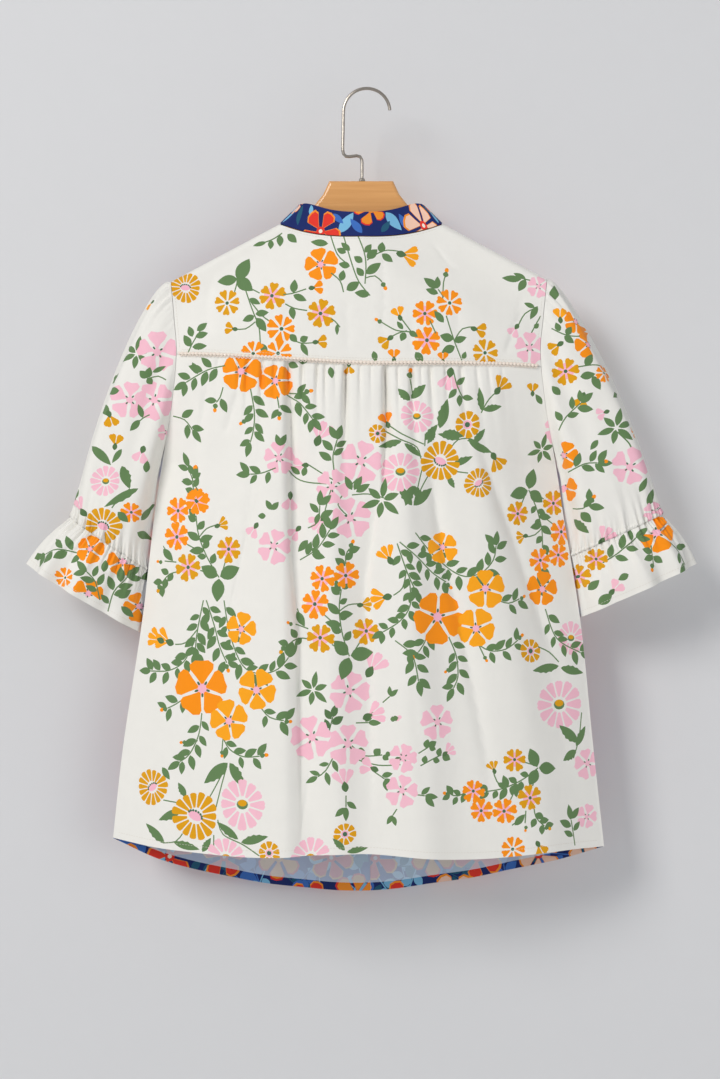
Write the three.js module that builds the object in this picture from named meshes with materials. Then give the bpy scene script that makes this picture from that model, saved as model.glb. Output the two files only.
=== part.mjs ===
// A short-sleeved blouse hanging on a wooden hanger, seen from its back.
// Millimetres, +Z up. The back of the blouse faces -Y and its front faces +Y.
// The origin is the inside of the hook's bend, where a rail carries the hanger.
import * as THREE from "three";

// Cloth and seams
const clothWall = 1.2;
const collarWall = 1.6;
const seamGap = 0.3;

// The garment hangs a little to one side of the hook's bend.
const hookPeakX = 5.7;

// Shoulder line: the cloth bends over the hanger along two straight slopes.
const ridgeApex = -96;
const ridgeSlope = 0.53;
const ridgeBend = 8;
const settleLength = 80;
const shoulderTipZ = -202;
const underarmZ = -393;
const shoulderSeamAhead = 7;

// Neck
const neckHalfWidth = 86;
const backNeckZ = -157;
const neckSideRise = 15;
const frontNeckZ = -185;
const collarHeight = 25;
const collarLean = 20;
const slitBottomZ = -290;
const slitHalfWidth = 9;

// Outline of the body: the armhole edge above the underarm and the side seam below it.
const outline = [
  { z: -202, left: -199, right: 194 },
  { z: -240, left: -195.5, right: 190 },
  { z: -277, left: -192.5, right: 186.5 },
  { z: -334, left: -198, right: 192.5 },
  { z: -393, left: -209, right: 204 },
  { z: -446, left: -217, right: 212 },
  { z: -558, left: -230, right: 230 },
  { z: -690, left: -250, right: 243.5 },
  { z: -800, left: -262, right: 255.5 },
];

// How far the middle of each face stands from the side seams.
const depths = [
  { z: -140, back: 22, front: 20 },
  { z: -202, back: 30, front: 25 },
  { z: -285, back: 38, front: 30 },
  { z: -393, back: 46, front: 35 },
  { z: -560, back: 54, front: 40 },
  { z: -800, back: 60, front: 44 },
];
const faceCrown = 2.4;
const armholeBulge = 12;

// Yoke seam and hems, by the place across from the left edge (-1) to the right edge (1).
const crossLines = [
  { across: -1, yoke: -279, backHem: -785, frontHem: -785 },
  { across: -0.8, yoke: -280.5, backHem: -792, frontHem: -812 },
  { across: -0.45, yoke: -285, backHem: -797, frontHem: -837 },
  { across: 0, yoke: -290, backHem: -793, frontHem: -848 },
  { across: 0.45, yoke: -290, backHem: -800, frontHem: -834 },
  { across: 0.8, yoke: -290.5, backHem: -795, frontHem: -812 },
  { across: 1, yoke: -292, backHem: -794, frontHem: -794 },
];

// Gathers of the back body under the yoke.
const gatherCount = 20;
const gatherFrom = -0.78;
const gatherTo = 0.78;
const gatherDepth = 6.4;
const gatherFade = 60;
const gatherPuff = 4;

// Large folds of the back body: crest place at the top and the bottom, reach to either side, and height.
const backFolds = [
  { topZ: -300, topX: -84, bottomX: -78, leftReach: 48, rightReach: 13, height: 13 },
  { topZ: -340, topX: -30, bottomX: -24, leftReach: 20, rightReach: 16, height: 9 },
  { topZ: -310, topX: 36, bottomX: 66, leftReach: 30, rightReach: 22, height: 12 },
  { topZ: -330, topX: 108, bottomX: 196, leftReach: 34, rightReach: 22, height: 8 },
  { topZ: -290, topX: -160, bottomX: -205, leftReach: 20, rightReach: 18, height: 4 },
];
const frontFolds = [
  { topZ: -330, topX: -112, bottomX: -140, leftReach: 30, rightReach: 24, height: 8 },
  { topZ: -360, topX: -48, bottomX: -62, leftReach: 24, rightReach: 22, height: 6 },
  { topZ: -360, topX: 58, bottomX: 74, leftReach: 22, rightReach: 26, height: 7 },
  { topZ: -330, topX: 124, bottomX: 156, leftReach: 26, rightReach: 28, height: 8 },
];
const foldBottomZ = -800;
const foldRise = 110;

// Sleeves: the elastic ring and the cuff hem, from the outer point to the inner point beside the body.
const sleeves = [
  {
    name: "left",
    side: -1,
    capPull: { out: 104, down: 24 },
    elasticOuter: { x: -304.5, z: -449.5 },
    elasticInner: { x: -221, z: -507 },
    hemOuter: { x: -347.5, z: -501 },
    hemInner: { x: -229, z: -572 },
  },
  {
    name: "right",
    side: 1,
    capPull: { out: 90, down: 35 },
    elasticOuter: { x: 315, z: -446 },
    elasticInner: { x: 215.5, z: -492 },
    hemOuter: { x: 347.5, z: -500 },
    hemInner: { x: 226, z: -556 },
  },
];
const elasticHalfDepth = 26;
const hemHalfDepth = 32;
const sleeveBehind = { outer: 4, inner: 15 };
const sleeveGathers = 32;
const elasticGatherDepth = 1.4;
const capGatherDepth = 3.2;
const capCrowding = 0.4;
const ruffleWaves = 8;
const ruffleDepth = 6;

// Trim along the yoke seam
const trimAbove = 3.8;
const trimBelow = 1.8;
const trimWall = 1.1;

// Hanger
const boardThickness = 12;
const boardBevel = 4;
const boardEdgeRound = 3.5;
const boardTopHalf = 33.5;
const armTipX = 186;
const armDepth = 27;
const boardBelowRidge = 2.8;
const wireRadius = 1.7;
const hookRadius = 24.4;

const lerp = (a, b, t) => a + (b - a) * t;
const clamp01 = (t) => Math.min(1, Math.max(0, t));
const smooth = (t) => clamp01(t) ** 2 * (3 - 2 * clamp01(t));
const cosTurn = (turns) => Math.cos(2 * Math.PI * turns);
const sinTurn = (turns) => Math.sin(2 * Math.PI * turns);

// A column of a table, read between its rows along a smooth curve.
function readTable(rows, key, column, at) {
  const rising = rows[rows.length - 1][key] > rows[0][key];
  let i = 0;
  while (i < rows.length - 2 && (rising ? at > rows[i + 1][key] : at < rows[i + 1][key])) i++;
  const slope = (k) => {
    const a = rows[Math.max(0, k - 1)];
    const b = rows[Math.min(rows.length - 1, k + 1)];
    return (b[column] - a[column]) / (b[key] - a[key]);
  };
  const span = rows[i + 1][key] - rows[i][key];
  const t = clamp01((at - rows[i][key]) / span);
  const startPull = t * (1 - t) ** 2 * span * slope(i);
  const endPull = t * t * (1 - t) * span * slope(i + 1);
  return lerp(rows[i][column], rows[i + 1][column], smooth(t)) + startPull - endPull;
}

const ridgeZ = (x) => ridgeApex - ridgeSlope * Math.abs(x);
const bendArc = (ridgeBend * Math.PI) / 2;
const edgeX = (side, z) => readTable(outline, "z", side < 0 ? "left" : "right", z);
const yokeZ = (across) => readTable(crossLines, "across", "yoke", across);
const hemZ = (face, across) => readTable(crossLines, "across", face < 0 ? "backHem" : "frontHem", across);

// Half the body's depth along the armhole edge, closing to the side seam at the underarm.
function edgeDepth(z) {
  const down = clamp01((shoulderTipZ - ridgeBend - z) / (shoulderTipZ - ridgeBend - underarmZ));
  return seamGap / 2 + ridgeBend * (1 - down) + armholeBulge * Math.sin(Math.PI * down);
}

// Depth of a face (-1 the back, 1 the front) at a place, without folds.
function faceY(face, x, z) {
  const half = Math.abs(edgeX(x < 0 ? -1 : 1, z));
  const middle = readTable(depths, "z", face < 0 ? "back" : "front", z);
  const edge = edgeDepth(z);
  return face * (edge + (middle - edge) * (1 - clamp01(Math.abs(x) / half) ** faceCrown));
}

// The cloth over the shoulder: run is the distance from the ridge, and below 0 on the other face.
function drape(face, x, run) {
  if (run < bendArc) {
    const turn = run / ridgeBend;
    const drop = ridgeBend * (1 - Math.cos(turn));
    return new THREE.Vector3(x, face * ridgeBend * Math.sin(turn), ridgeZ(x) - drop);
  }
  const z = ridgeZ(x) - ridgeBend - (run - bendArc);
  const settled = smooth((run - bendArc) / settleLength);
  const y = face * lerp(ridgeBend, Math.abs(faceY(face, x, z)), settled);
  return new THREE.Vector3(x, y, z);
}
const runTo = (x, z) => {
  const drop = ridgeZ(x) - z;
  return drop < ridgeBend ? ridgeBend * Math.acos(1 - Math.max(0, drop) / ridgeBend) : bendArc + drop - ridgeBend;
};

// A point on a face at a share of its half width, a given distance down from the ridge.
function drapeAcross(face, across, run) {
  let x = across * Math.abs(edgeX(Math.sign(across), shoulderTipZ));
  for (let pass = 0; pass < 4; pass++) {
    x = across * Math.abs(edgeX(Math.sign(across), drape(face, x, run).z));
  }
  return drape(face, x, run);
}

const neckBackZ = (x) => backNeckZ + neckSideRise * Math.min(1, Math.abs(x) / neckHalfWidth) ** 2.4;
const neckFrontZ = (x) => {
  const side = ridgeZ(neckHalfWidth) - 3;
  return side + (frontNeckZ - side) * Math.sqrt(Math.max(0, 1 - (x / neckHalfWidth) ** 2));
};

// Sum of the large folds of a face, in the direction away from the body.
function foldHeight(folds, x, z, across) {
  let sum = 0;
  for (const fold of folds) {
    const down = clamp01((fold.topZ - z) / (fold.topZ - foldBottomZ));
    const off = x - lerp(fold.topX, fold.bottomX, down);
    const reach = (off < 0 ? fold.leftReach : fold.rightReach) * (0.75 + 0.5 * down);
    sum += fold.height * Math.exp(-((off / reach) ** 2)) * smooth((fold.topZ - z) / foldRise);
  }
  return sum * (1 - Math.abs(across) ** 8);
}

// Gathers under the yoke: unevenly spaced, deep at the seam and fading below it.
function gatherShape(across, below) {
  const place = (across - gatherFrom) / (gatherTo - gatherFrom);
  if (place <= 0 || place >= 1) return 0;
  const uneven = 0.3 * Math.sin(place * 17) + 0.22 * Math.sin(place * 41);
  const wave = 0.5 + 0.5 * cosTurn(place * gatherCount + uneven);
  const strength = (0.65 + 0.35 * Math.sin(place * 9 + 1)) * smooth(Math.min(place, 1 - place) * 12);
  const seamward = 0.45 + 0.55 * smooth(below / 14);
  const puff = gatherPuff * smooth((below - 3) / 26) * Math.exp(-below / 150);
  return (puff - gatherDepth * (1 - wave) * seamward * Math.exp(-below / gatherFade)) * strength;
}

function backPoint(across, z) {
  const x = across * Math.abs(edgeX(Math.sign(across), z));
  const out = foldHeight(backFolds, x, z, across) + gatherShape(across, yokeZ(across) - z);
  return new THREE.Vector3(x, faceY(-1, x, z) - out, z);
}

// The armhole edge that the body panels and a sleeve share, from the shoulder tip (0) to the underarm (1).
function armholePoint(side, face, down) {
  const fullRun = bendArc + shoulderTipZ - ridgeBend - underarmZ;
  return drapeAcross(face, side, down * fullRun);
}

// A closed wall of cloth around a surface. From one row to the next the columns may double or halve.
function clothSolid({ surface, rows, columnsAt, closed = false, wall = clothWall, turnNormal }) {
  const step = 1e-3;
  const points = [];
  const outer = [];
  const inner = [];
  const put = (p) => points.push(p.x, p.y, p.z) / 3 - 1;
  for (const v of rows) {
    const columns = columnsAt(v);
    outer.push([]);
    inner.push([]);
    for (const u of columns) {
      const p = surface(u, v);
      const uBack = closed ? u - step : Math.max(columns[0], u - step);
      const uNext = closed ? u + step : Math.min(columns[columns.length - 1], u + step);
      const along = surface(uNext, v).sub(surface(uBack, v));
      const down = surface(u, Math.min(1, v + step)).sub(surface(u, Math.max(0, v - step)));
      const normal = along.cross(down).normalize();
      if (turnNormal) turnNormal(normal, u, v, p);
      normal.normalize().multiplyScalar(wall / 2);
      outer[outer.length - 1].push(put(p.clone().add(normal)));
      inner[inner.length - 1].push(put(p.clone().sub(normal)));
    }
  }
  const faces = [];
  const quad = (a, b, c, d) => faces.push(a, b, c, b, d, c);
  const skin = (grid, flip) => {
    const tri = (a, b, c) => (flip ? faces.push(a, c, b) : faces.push(a, b, c));
    for (let r = 0; r + 1 < grid.length; r++) {
      const [top, low] = [grid[r], grid[r + 1]];
      const cells = Math.min(top.length, low.length) - (closed ? 0 : 1);
      for (let c = 0; c < cells; c++) {
        if (low.length > top.length) {
          const [a, b] = [top[c], top[(c + 1) % top.length]];
          const [d, e, f] = [low[2 * c], low[2 * c + 1], low[(2 * c + 2) % low.length]];
          tri(a, e, d);
          tri(a, b, e);
          tri(b, f, e);
        } else if (low.length < top.length) {
          const [a, b, d] = [top[2 * c], top[2 * c + 1], top[(2 * c + 2) % top.length]];
          const [e, f] = [low[c], low[(c + 1) % low.length]];
          tri(a, b, e);
          tri(b, f, e);
          tri(b, d, f);
        } else {
          const [a, b] = [top[c], top[(c + 1) % top.length]];
          const [d, e] = [low[c], low[(c + 1) % low.length]];
          tri(a, b, d);
          tri(b, e, d);
        }
      }
    }
  };
  skin(outer, false);
  skin(inner, true);
  const rim = (outerEdge, innerEdge, flip) => {
    const count = outerEdge.length - (closed ? 0 : 1);
    for (let c = 0; c < count; c++) {
      const next = (c + 1) % outerEdge.length;
      if (flip) quad(outerEdge[c], innerEdge[c], outerEdge[next], innerEdge[next]);
      else quad(outerEdge[c], outerEdge[next], innerEdge[c], innerEdge[next]);
    }
  };
  rim(outer[0], inner[0], true);
  rim(outer[outer.length - 1], inner[inner.length - 1], false);
  if (!closed) {
    const last = (row) => row[row.length - 1];
    for (let r = 0; r + 1 < rows.length; r++) {
      quad(outer[r][0], outer[r + 1][0], inner[r][0], inner[r + 1][0]);
      quad(last(outer[r]), last(inner[r]), last(outer[r + 1]), last(inner[r + 1]));
    }
  }
  const geometry = new THREE.BufferGeometry();
  geometry.setAttribute("position", new THREE.Float32BufferAttribute(points, 3));
  geometry.setIndex(faces);
  geometry.computeVertexNormals();
  return geometry;
}

// Even places from one number to another.
const spread = (from, to, cells) => Array.from({ length: cells + 1 }, (_, i) => lerp(from, to, i / cells));

// At an open armhole the wall's offset keeps to the armhole's plane, and at the side seam to the seam's plane.
function turnAtEdge(normal, z) {
  const open = smooth((edgeDepth(z) - seamGap / 2) / 7);
  normal.set(normal.x * (1 - open), normal.y * open, normal.z * open);
}

const group = new THREE.Group();
const garment = new THREE.Group();
garment.position.x = -hookPeakX;
group.add(garment);

function addPiece(name, geometry, material) {
  const mesh = new THREE.Mesh(geometry, material);
  mesh.name = name;
  garment.add(mesh);
}

const paleCloth = new THREE.MeshStandardMaterial({ color: 0xf3efe6, roughness: 0.75, metalness: 0 });
const navyCloth = new THREE.MeshStandardMaterial({ color: 0x24408a, roughness: 0.75, metalness: 0 });
const trimCloth = new THREE.MeshStandardMaterial({ color: 0xf2e6d8, roughness: 0.85, metalness: 0 });
const beech = new THREE.MeshStandardMaterial({ color: 0xe0a462, roughness: 0.5, metalness: 0 });
const nickel = new THREE.MeshStandardMaterial({ color: 0xb5a99a, roughness: 0.28, metalness: 1 });

// Columns of the yoke and of the collar meet at the neck's corners.
const neckPlaces = [...spread(0, 0.84, 5), 0.93, 0.984].map((share) => share * neckHalfWidth);
const placesAcross = (side) => [...neckPlaces, ...spread(neckHalfWidth, Math.abs(edgeX(side, shoulderTipZ)), 7)];
const yokeHalf = (side) => placesAcross(side).map((x) => x / edgeX(side, shoulderTipZ));
const yokeColumns = [...yokeHalf(-1).slice(1).reverse(), ...yokeHalf(1)];

function yokeTopRun(across) {
  const x = drapeAcross(-1, across, -shoulderSeamAhead).x;
  return Math.abs(x) > neckHalfWidth - 0.1 ? -shoulderSeamAhead : runTo(x, neckBackZ(x));
}

function backYoke() {
  const surface = (across, v) => {
    const seamZ = yokeZ(across) + seamGap / 2;
    const seamX = across * Math.abs(edgeX(Math.sign(across), seamZ));
    const topRun = yokeTopRun(across);
    const kneeRun = Math.max(topRun + 8, 14);
    const run = v < 0.2 ? lerp(topRun, kneeRun, v / 0.2) : lerp(kneeRun, runTo(seamX, seamZ), (v - 0.2) / 0.8);
    return drapeAcross(-1, across, run);
  };
  const turnNormal = (normal, across, v, p) => {
    if (Math.abs(across) === 1) turnAtEdge(normal, p.z);
    if (v === 1) normal.z = 0;
  };
  const rows = [0, 0.05, 0.1, 0.15, 0.2, 0.31, 0.46, 0.63, 0.81, 1];
  return clothSolid({ surface, rows, columnsAt: () => yokeColumns, turnNormal });
}

function backBody() {
  const sides = [0.82, 0.87, 0.925, 0.97, 1];
  const gathered = spread(gatherFrom, gatherTo, gatherCount * 4);
  const fine = [...sides.slice(0, -1).reverse().map((across) => -across), ...gathered, ...sides];
  fine.unshift(-1);
  const coarse = fine.filter((_, i) => i % 2 === 0);
  const surface = (across, v) => {
    return backPoint(across, lerp(yokeZ(across) - seamGap / 2, hemZ(-1, across), v));
  };
  const turnNormal = (normal, across, v, p) => {
    if (Math.abs(across) === 1) turnAtEdge(normal, p.z);
    if (v === 0) normal.z = 0;
  };
  const rows = [0, 0.01, 0.03, 0.06, 0.095, 0.13, 0.165, 0.2, 0.235, 0.31, 0.42, 0.55, 0.69, 0.84, 1];
  return clothSolid({ surface, rows, columnsAt: (v) => (v > 0.25 ? coarse : fine), turnNormal });
}

// The centre front seam drifts a little to the right on its way down, as the blouse hangs.
const centreSeamX = (z) => (10 * (ridgeApex - z)) / (ridgeApex + 848);

function frontPanel(side) {
  const neckInner = slitHalfWidth + seamGap / 2;
  const shoulderHalf = Math.abs(edgeX(side, shoulderTipZ));
  const surface = (share, v) => {
    const across = side * share;
    const topX = lerp(neckInner, shoulderHalf, share);
    const topRun = topX > neckHalfWidth - 0.1 ? shoulderSeamAhead + 1.5 * seamGap : runTo(topX, neckFrontZ(topX));
    const topZ = drape(1, side * topX, topRun).z;
    const z = lerp(topZ, hemZ(1, across), v);
    const slit = slitHalfWidth * smooth((z - slitBottomZ) / (frontNeckZ - slitBottomZ)) + seamGap / 2;
    const inner = centreSeamX(z) + side * slit;
    const x = lerp(inner, side * Math.abs(edgeX(side, z)), share);
    const p = drape(1, x, Math.max(runTo(x, z), topRun));
    p.y += foldHeight(frontFolds, x, p.z, across);
    return p;
  };
  const turnNormal = (normal, share, v, p) => {
    if (share === 1) turnAtEdge(normal, p.z);
    if (share === 0) normal.x = 0;
  };
  const places = [neckInner, 20, ...placesAcross(side).slice(2)];
  const shares = places.map((x) => (x - neckInner) / (shoulderHalf - neckInner));
  const rows = [0, 0.01, 0.02, 0.05, 0.08, 0.115, 0.15, 0.185, 0.22, 0.255, 0.29, 0.33, 0.43, 0.56, 0.7, 0.85, 1];
  return clothSolid({ surface, rows, columnsAt: () => shares, turnNormal });
}

// The collar stands on the neck edge: places 0 to 1 run round from the slit's left side by the back to its right.
function collarBand() {
  const lift = 1.1;
  const footInset = 1.4;
  const overShoulder = { from: 0.22, to: 0.28, x: neckHalfWidth - footInset };
  const frontRun = runTo(overShoulder.x, neckFrontZ(overShoulder.x));
  const backRun = runTo(overShoulder.x, neckBackZ(overShoulder.x));
  const foot = (turn) => {
    const side = turn < 0.5 ? -1 : 1;
    const fromFront = turn < 0.5 ? turn : 1 - turn;
    if (fromFront < overShoulder.from) {
      const x = lerp(slitHalfWidth + 1, overShoulder.x, Math.sin((fromFront / overShoulder.from) * (Math.PI / 2)));
      return drape(1, side * x, runTo(x, neckFrontZ(x)));
    }
    if (fromFront < overShoulder.to) {
      const share = (fromFront - overShoulder.from) / (overShoulder.to - overShoulder.from);
      const run = lerp(frontRun, -backRun, share);
      return drape(1, side * overShoulder.x, run);
    }
    const swing = ((0.5 - fromFront) / (0.5 - overShoulder.to)) * (Math.PI / 2);
    const x = overShoulder.x * Math.sin(swing);
    return drape(-1, side * x, runTo(x, neckBackZ(x)));
  };
  const surface = (turn, v) => {
    const p = foot(turn);
    const sideways = Math.abs(p.x) / neckHalfWidth;
    const level = 1 - v;
    const rise = collarHeight * (1 + 0.35 * sideways ** 2 - 0.65 * sideways ** 6);
    p.z += lift + rise * level;
    p.x -= Math.sign(p.x) * (collarLean * sideways ** 2 * level + 0.3);
    p.y *= 1 + 0.25 * sideways ** 6 * level;
    return p;
  };
  const turnNormal = (normal, turn, v) => {
    if (v === 1) normal.z = 0;
  };
  const turns = spread(0, 1, 50);
  return clothSolid({ surface, rows: [0, 0.5, 1], columnsAt: () => turns, wall: collarWall, turnNormal });
}

// A sleeve's flattened ring: turn 0 is the outer point and 0.5 the inner point beside the body.
function sleeveRing(outer, inner, halfDepth, turn) {
  const out = cosTurn(turn);
  const back = sinTurn(turn);
  const behind = lerp(sleeveBehind.inner, sleeveBehind.outer, (1 + out) / 2);
  return new THREE.Vector3(
    lerp(inner.x, outer.x, (1 + out) / 2),
    behind - halfDepth * Math.sign(back) * Math.abs(back) ** 1.2,
    lerp(inner.z, outer.z, (1 + out) / 2),
  );
}

// Outward direction of the ring in its own plane.
function ringOutward(outer, inner, turn) {
  const wide = new THREE.Vector3(outer.x - inner.x, 0, outer.z - inner.z).normalize();
  return wide.multiplyScalar(cosTurn(turn) * 0.6).add(new THREE.Vector3(0, -sinTurn(turn), 0)).normalize();
}

function hermite(from, fromPull, to, toPull, t) {
  const blend = smooth(t);
  return from
    .clone()
    .multiplyScalar(1 - blend)
    .addScaledVector(to, blend)
    .addScaledVector(fromPull, t * (1 - t) ** 2)
    .addScaledVector(toPull, -t * t * (1 - t));
}

// Down and away from the elastic, in the plane of the picture.
function ringAxis({ side, elasticOuter, elasticInner }) {
  const wide = new THREE.Vector3(elasticOuter.x - elasticInner.x, 0, elasticOuter.z - elasticInner.z).normalize();
  return new THREE.Vector3(side * wide.z, 0, -Math.abs(wide.x));
}

function sleevePoint(sleeve, turn, v) {
  const { side, capPull, elasticOuter, elasticInner } = sleeve;
  const top = turn - (capCrowding / (2 * Math.PI)) * sinTurn(turn);
  const face = top <= 0.5 ? -1 : 1;
  const armhole = armholePoint(side, face, 1 - Math.abs(1 - 2 * top));
  const open = smooth((edgeDepth(armhole.z) - seamGap / 2) / 7);
  armhole.x += side * (seamGap + 0.2 + (1 - open) * clothWall);
  const [out, back] = [cosTurn(turn), sinTurn(turn)];
  const capward = (1 + out) / 2;
  const pullOut = lerp(31, capPull.out, capward);
  const fromPull = new THREE.Vector3(side * pullOut, -30 * back + 8 * (1 - out), -lerp(125, capPull.down, capward));
  const toPull = new THREE.Vector3(side * (20 + 15 * out), 44 * back, -(170 + 55 * out));
  const elastic = sleeveRing(elasticOuter, elasticInner, elasticHalfDepth, turn);
  const p = hermite(armhole, fromPull, elastic, toPull, v);
  const outward = ringOutward(elasticOuter, elasticInner, turn);
  const gather = elasticGatherDepth * smooth((v - 0.8) / 0.2) * cosTurn(turn * sleeveGathers);
  const nearCap = Math.exp(-((Math.abs(turn < 0.5 ? turn : 1 - turn) / 0.13) ** 2));
  const capFade = smooth(v / 0.08) * Math.exp(-((v / 0.3) ** 2));
  const pleat = capGatherDepth * nearCap * capFade * cosTurn((turn * sleeveGathers) / 2);
  return p.addScaledVector(outward, gather + pleat);
}

function sleeveTube(sleeve) {
  const axis = ringAxis(sleeve);
  const fine = spread(0, 1, sleeveGathers * 2).slice(0, -1);
  const coarse = spread(0, 1, sleeveGathers).slice(0, -1);
  const turnNormal = (normal, turn, v) => {
    if (v === 0) normal.x *= 0.02;
    if (v === 1) normal.addScaledVector(axis, -normal.dot(axis));
  };
  return clothSolid({
    surface: (turn, v) => sleevePoint(sleeve, turn, v),
    rows: [0, 0.06, 0.14, 0.26, 0.42, 0.6, 0.76, 0.88, 0.96, 1],
    columnsAt: (v) => (v > 0.8 ? fine : coarse),
    closed: true,
    turnNormal,
  });
}

function cuffPoint(sleeve, turn, v) {
  const { elasticOuter, elasticInner, hemOuter, hemInner } = sleeve;
  const from = sleeveRing(elasticOuter, elasticInner, elasticHalfDepth, turn).addScaledVector(ringAxis(sleeve), seamGap);
  const to = sleeveRing(hemOuter, hemInner, hemHalfDepth, turn);
  const outward = ringOutward(elasticOuter, elasticInner, turn);
  const clear = smooth((1 + cosTurn(turn)) * 1.1);
  const gather = elasticGatherDepth * (1 - smooth(v / 0.5)) * cosTurn(turn * sleeveGathers);
  const wave = ruffleDepth * v * cosTurn(turn * ruffleWaves + 0.15) * clear;
  return from.lerp(to, v).addScaledVector(outward, gather + wave + 5 * clear * Math.sin(Math.PI * v));
}

function cuffRuffle(sleeve) {
  const axis = ringAxis(sleeve);
  const fine = spread(0, 1, sleeveGathers * 2).slice(0, -1);
  const turnNormal = (normal, turn, v) => {
    if (v === 0) normal.addScaledVector(axis, -normal.dot(axis));
  };
  return clothSolid({
    surface: (turn, v) => cuffPoint(sleeve, turn, v),
    rows: [0, 0.15, 0.45, 0.75, 1],
    columnsAt: () => fine,
    closed: true,
    turnNormal,
  });
}

// A braid that lies on the yoke's lower edge and covers the seam.
function yokeTrim() {
  const surface = (across, v) => {
    const z = lerp(yokeZ(across) + trimAbove, yokeZ(across) - trimBelow, v);
    const x = across * Math.abs(edgeX(Math.sign(across), z));
    const off = clothWall / 2 + seamGap + trimWall / 2;
    return new THREE.Vector3(x, faceY(-1, x, z) - off, z);
  };
  const turnNormal = (normal) => normal.set(0, 1, 0);
  return clothSolid({
    surface,
    rows: [0, 0.5, 1],
    columnsAt: () => spread(-0.985, 0.985, 44),
    wall: trimWall,
    turnNormal,
  });
}

function hangerBoard() {
  const grow = boardEdgeRound;
  const neckEdge = [
    { x: boardTopHalf, z: -96 },
    { x: 40, z: -110 },
    { x: 51, z: -124 },
    { x: 64, z: -134 },
    { x: 78, z: -142.5 },
    { x: 90, z: -148.5 },
    { x: 105, z: ridgeZ(105) - boardBelowRidge },
  ];
  const armTipTop = ridgeZ(armTipX) - boardBelowRidge;
  const right = neckEdge.map(({ x, z }) => new THREE.Vector2(x, z));
  right.push(new THREE.Vector2(armTipX, armTipTop));
  const tip = new THREE.Vector2(armTipX, armTipTop - armDepth / 2);
  for (const angle of [0.25, 0, -0.25]) {
    const swing = angle * Math.PI;
    const round = (armDepth / 2) * 0.6;
    right.push(new THREE.Vector2(tip.x + round * Math.cos(swing), tip.y + round * Math.sin(swing)));
  }
  right.push(new THREE.Vector2(armTipX - 4, armTipTop - armDepth));
  right.push(new THREE.Vector2(110, ridgeZ(110) - boardBelowRidge - armDepth - 8));
  right.push(new THREE.Vector2(60, ridgeZ(60) - boardBelowRidge - armDepth - 12));
  const outlinePoints = [...right, new THREE.Vector2(0, ridgeZ(0) - 60)];
  for (const p of right.slice().reverse()) outlinePoints.push(new THREE.Vector2(-p.x, p.y));
  // The bevel grows outwards, so the drawn outline is drawn in by the same amount.
  const shape = new THREE.Shape(outlinePoints);
  const flat = boardThickness - 2 * boardBevel;
  const geometry = new THREE.ExtrudeGeometry(shape, {
    depth: flat,
    bevelEnabled: true,
    bevelThickness: boardBevel,
    bevelSize: grow,
    bevelOffset: -grow,
    bevelSegments: 3,
    curveSegments: 4,
  });
  geometry.translate(0, 0, -flat / 2);
  geometry.rotateX(Math.PI / 2);
  return geometry;
}

// The wire's centre line: up from the board, a jog to the left, the long shank and the open bend.
function hookWire() {
  const at = (x, z) => new THREE.Vector3(x, 0, z);
  const bendCentre = at(hookPeakX, wireRadius - hookRadius);
  const path = new THREE.CurvePath();
  path.add(new THREE.LineCurve3(at(0.8, -95.5), at(0.8, -76)));
  path.add(new THREE.QuadraticBezierCurve3(at(0.8, -76), at(0.8, -69), at(-4.5, -69)));
  path.add(new THREE.LineCurve3(at(-4.5, -69), at(-13, -70)));
  path.add(new THREE.QuadraticBezierCurve3(at(-13, -70), at(-19.6, -70.6), at(-19.4, -62)));
  path.add(new THREE.LineCurve3(at(-19.4, -62), at(bendCentre.x - hookRadius, bendCentre.z)));
  const bend = new THREE.EllipseCurve(0, 0, hookRadius, hookRadius, Math.PI, 0.02 * Math.PI, true);
  const bendPoints = bend.getPoints(18).map((p) => at(bendCentre.x + p.x, bendCentre.z + p.y));
  const points = path.curves.slice(0, -1).flatMap((curve, i) => curve.getPoints(i % 2 ? 4 : 2).slice(0, -1));
  points.push(at(-19.4, -62), at(-19, -42), ...bendPoints);
  const wire = new THREE.CatmullRomCurve3(points, false, "centripetal");
  const section = new THREE.Shape();
  section.absarc(0, 0, wireRadius, 0, 2 * Math.PI, false);
  return new THREE.ExtrudeGeometry(section, { extrudePath: wire, steps: 44, curveSegments: 6 });
}

function hookFerrule() {
  const [bore, rim, height] = [wireRadius + seamGap, 3.4, 2.6];
  const profile = [
    new THREE.Vector2(bore, 0),
    new THREE.Vector2(rim, 0),
    new THREE.Vector2(rim, height * 0.5),
    new THREE.Vector2(bore + 0.7, height),
    new THREE.Vector2(bore, height),
    new THREE.Vector2(bore, 0),
  ];
  return new THREE.LatheGeometry(profile, 20).rotateX(Math.PI / 2).translate(0.8, 0, ridgeApex + seamGap);
}

addPiece("back_yoke", backYoke(), paleCloth);
addPiece("back_body", backBody(), paleCloth);
addPiece("front_left", frontPanel(-1), navyCloth);
addPiece("front_right", frontPanel(1), navyCloth);
addPiece("collar_band", collarBand(), navyCloth);
addPiece("yoke_trim", yokeTrim(), trimCloth);
for (const sleeve of sleeves) {
  addPiece("sleeve_" + sleeve.name, sleeveTube(sleeve), paleCloth);
  addPiece("cuff_" + sleeve.name, cuffRuffle(sleeve), paleCloth);
}
addPiece("hanger_board", hangerBoard(), beech);
addPiece("hanger_hook", hookWire(), nickel);
addPiece("hook_ferrule", hookFerrule(), nickel);

export default group;
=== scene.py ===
import math
import random

import bmesh
import bpy
import numpy as np
from mathutils import Matrix, Vector
from mathutils.geometry import delaunay_2d_cdt


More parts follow.
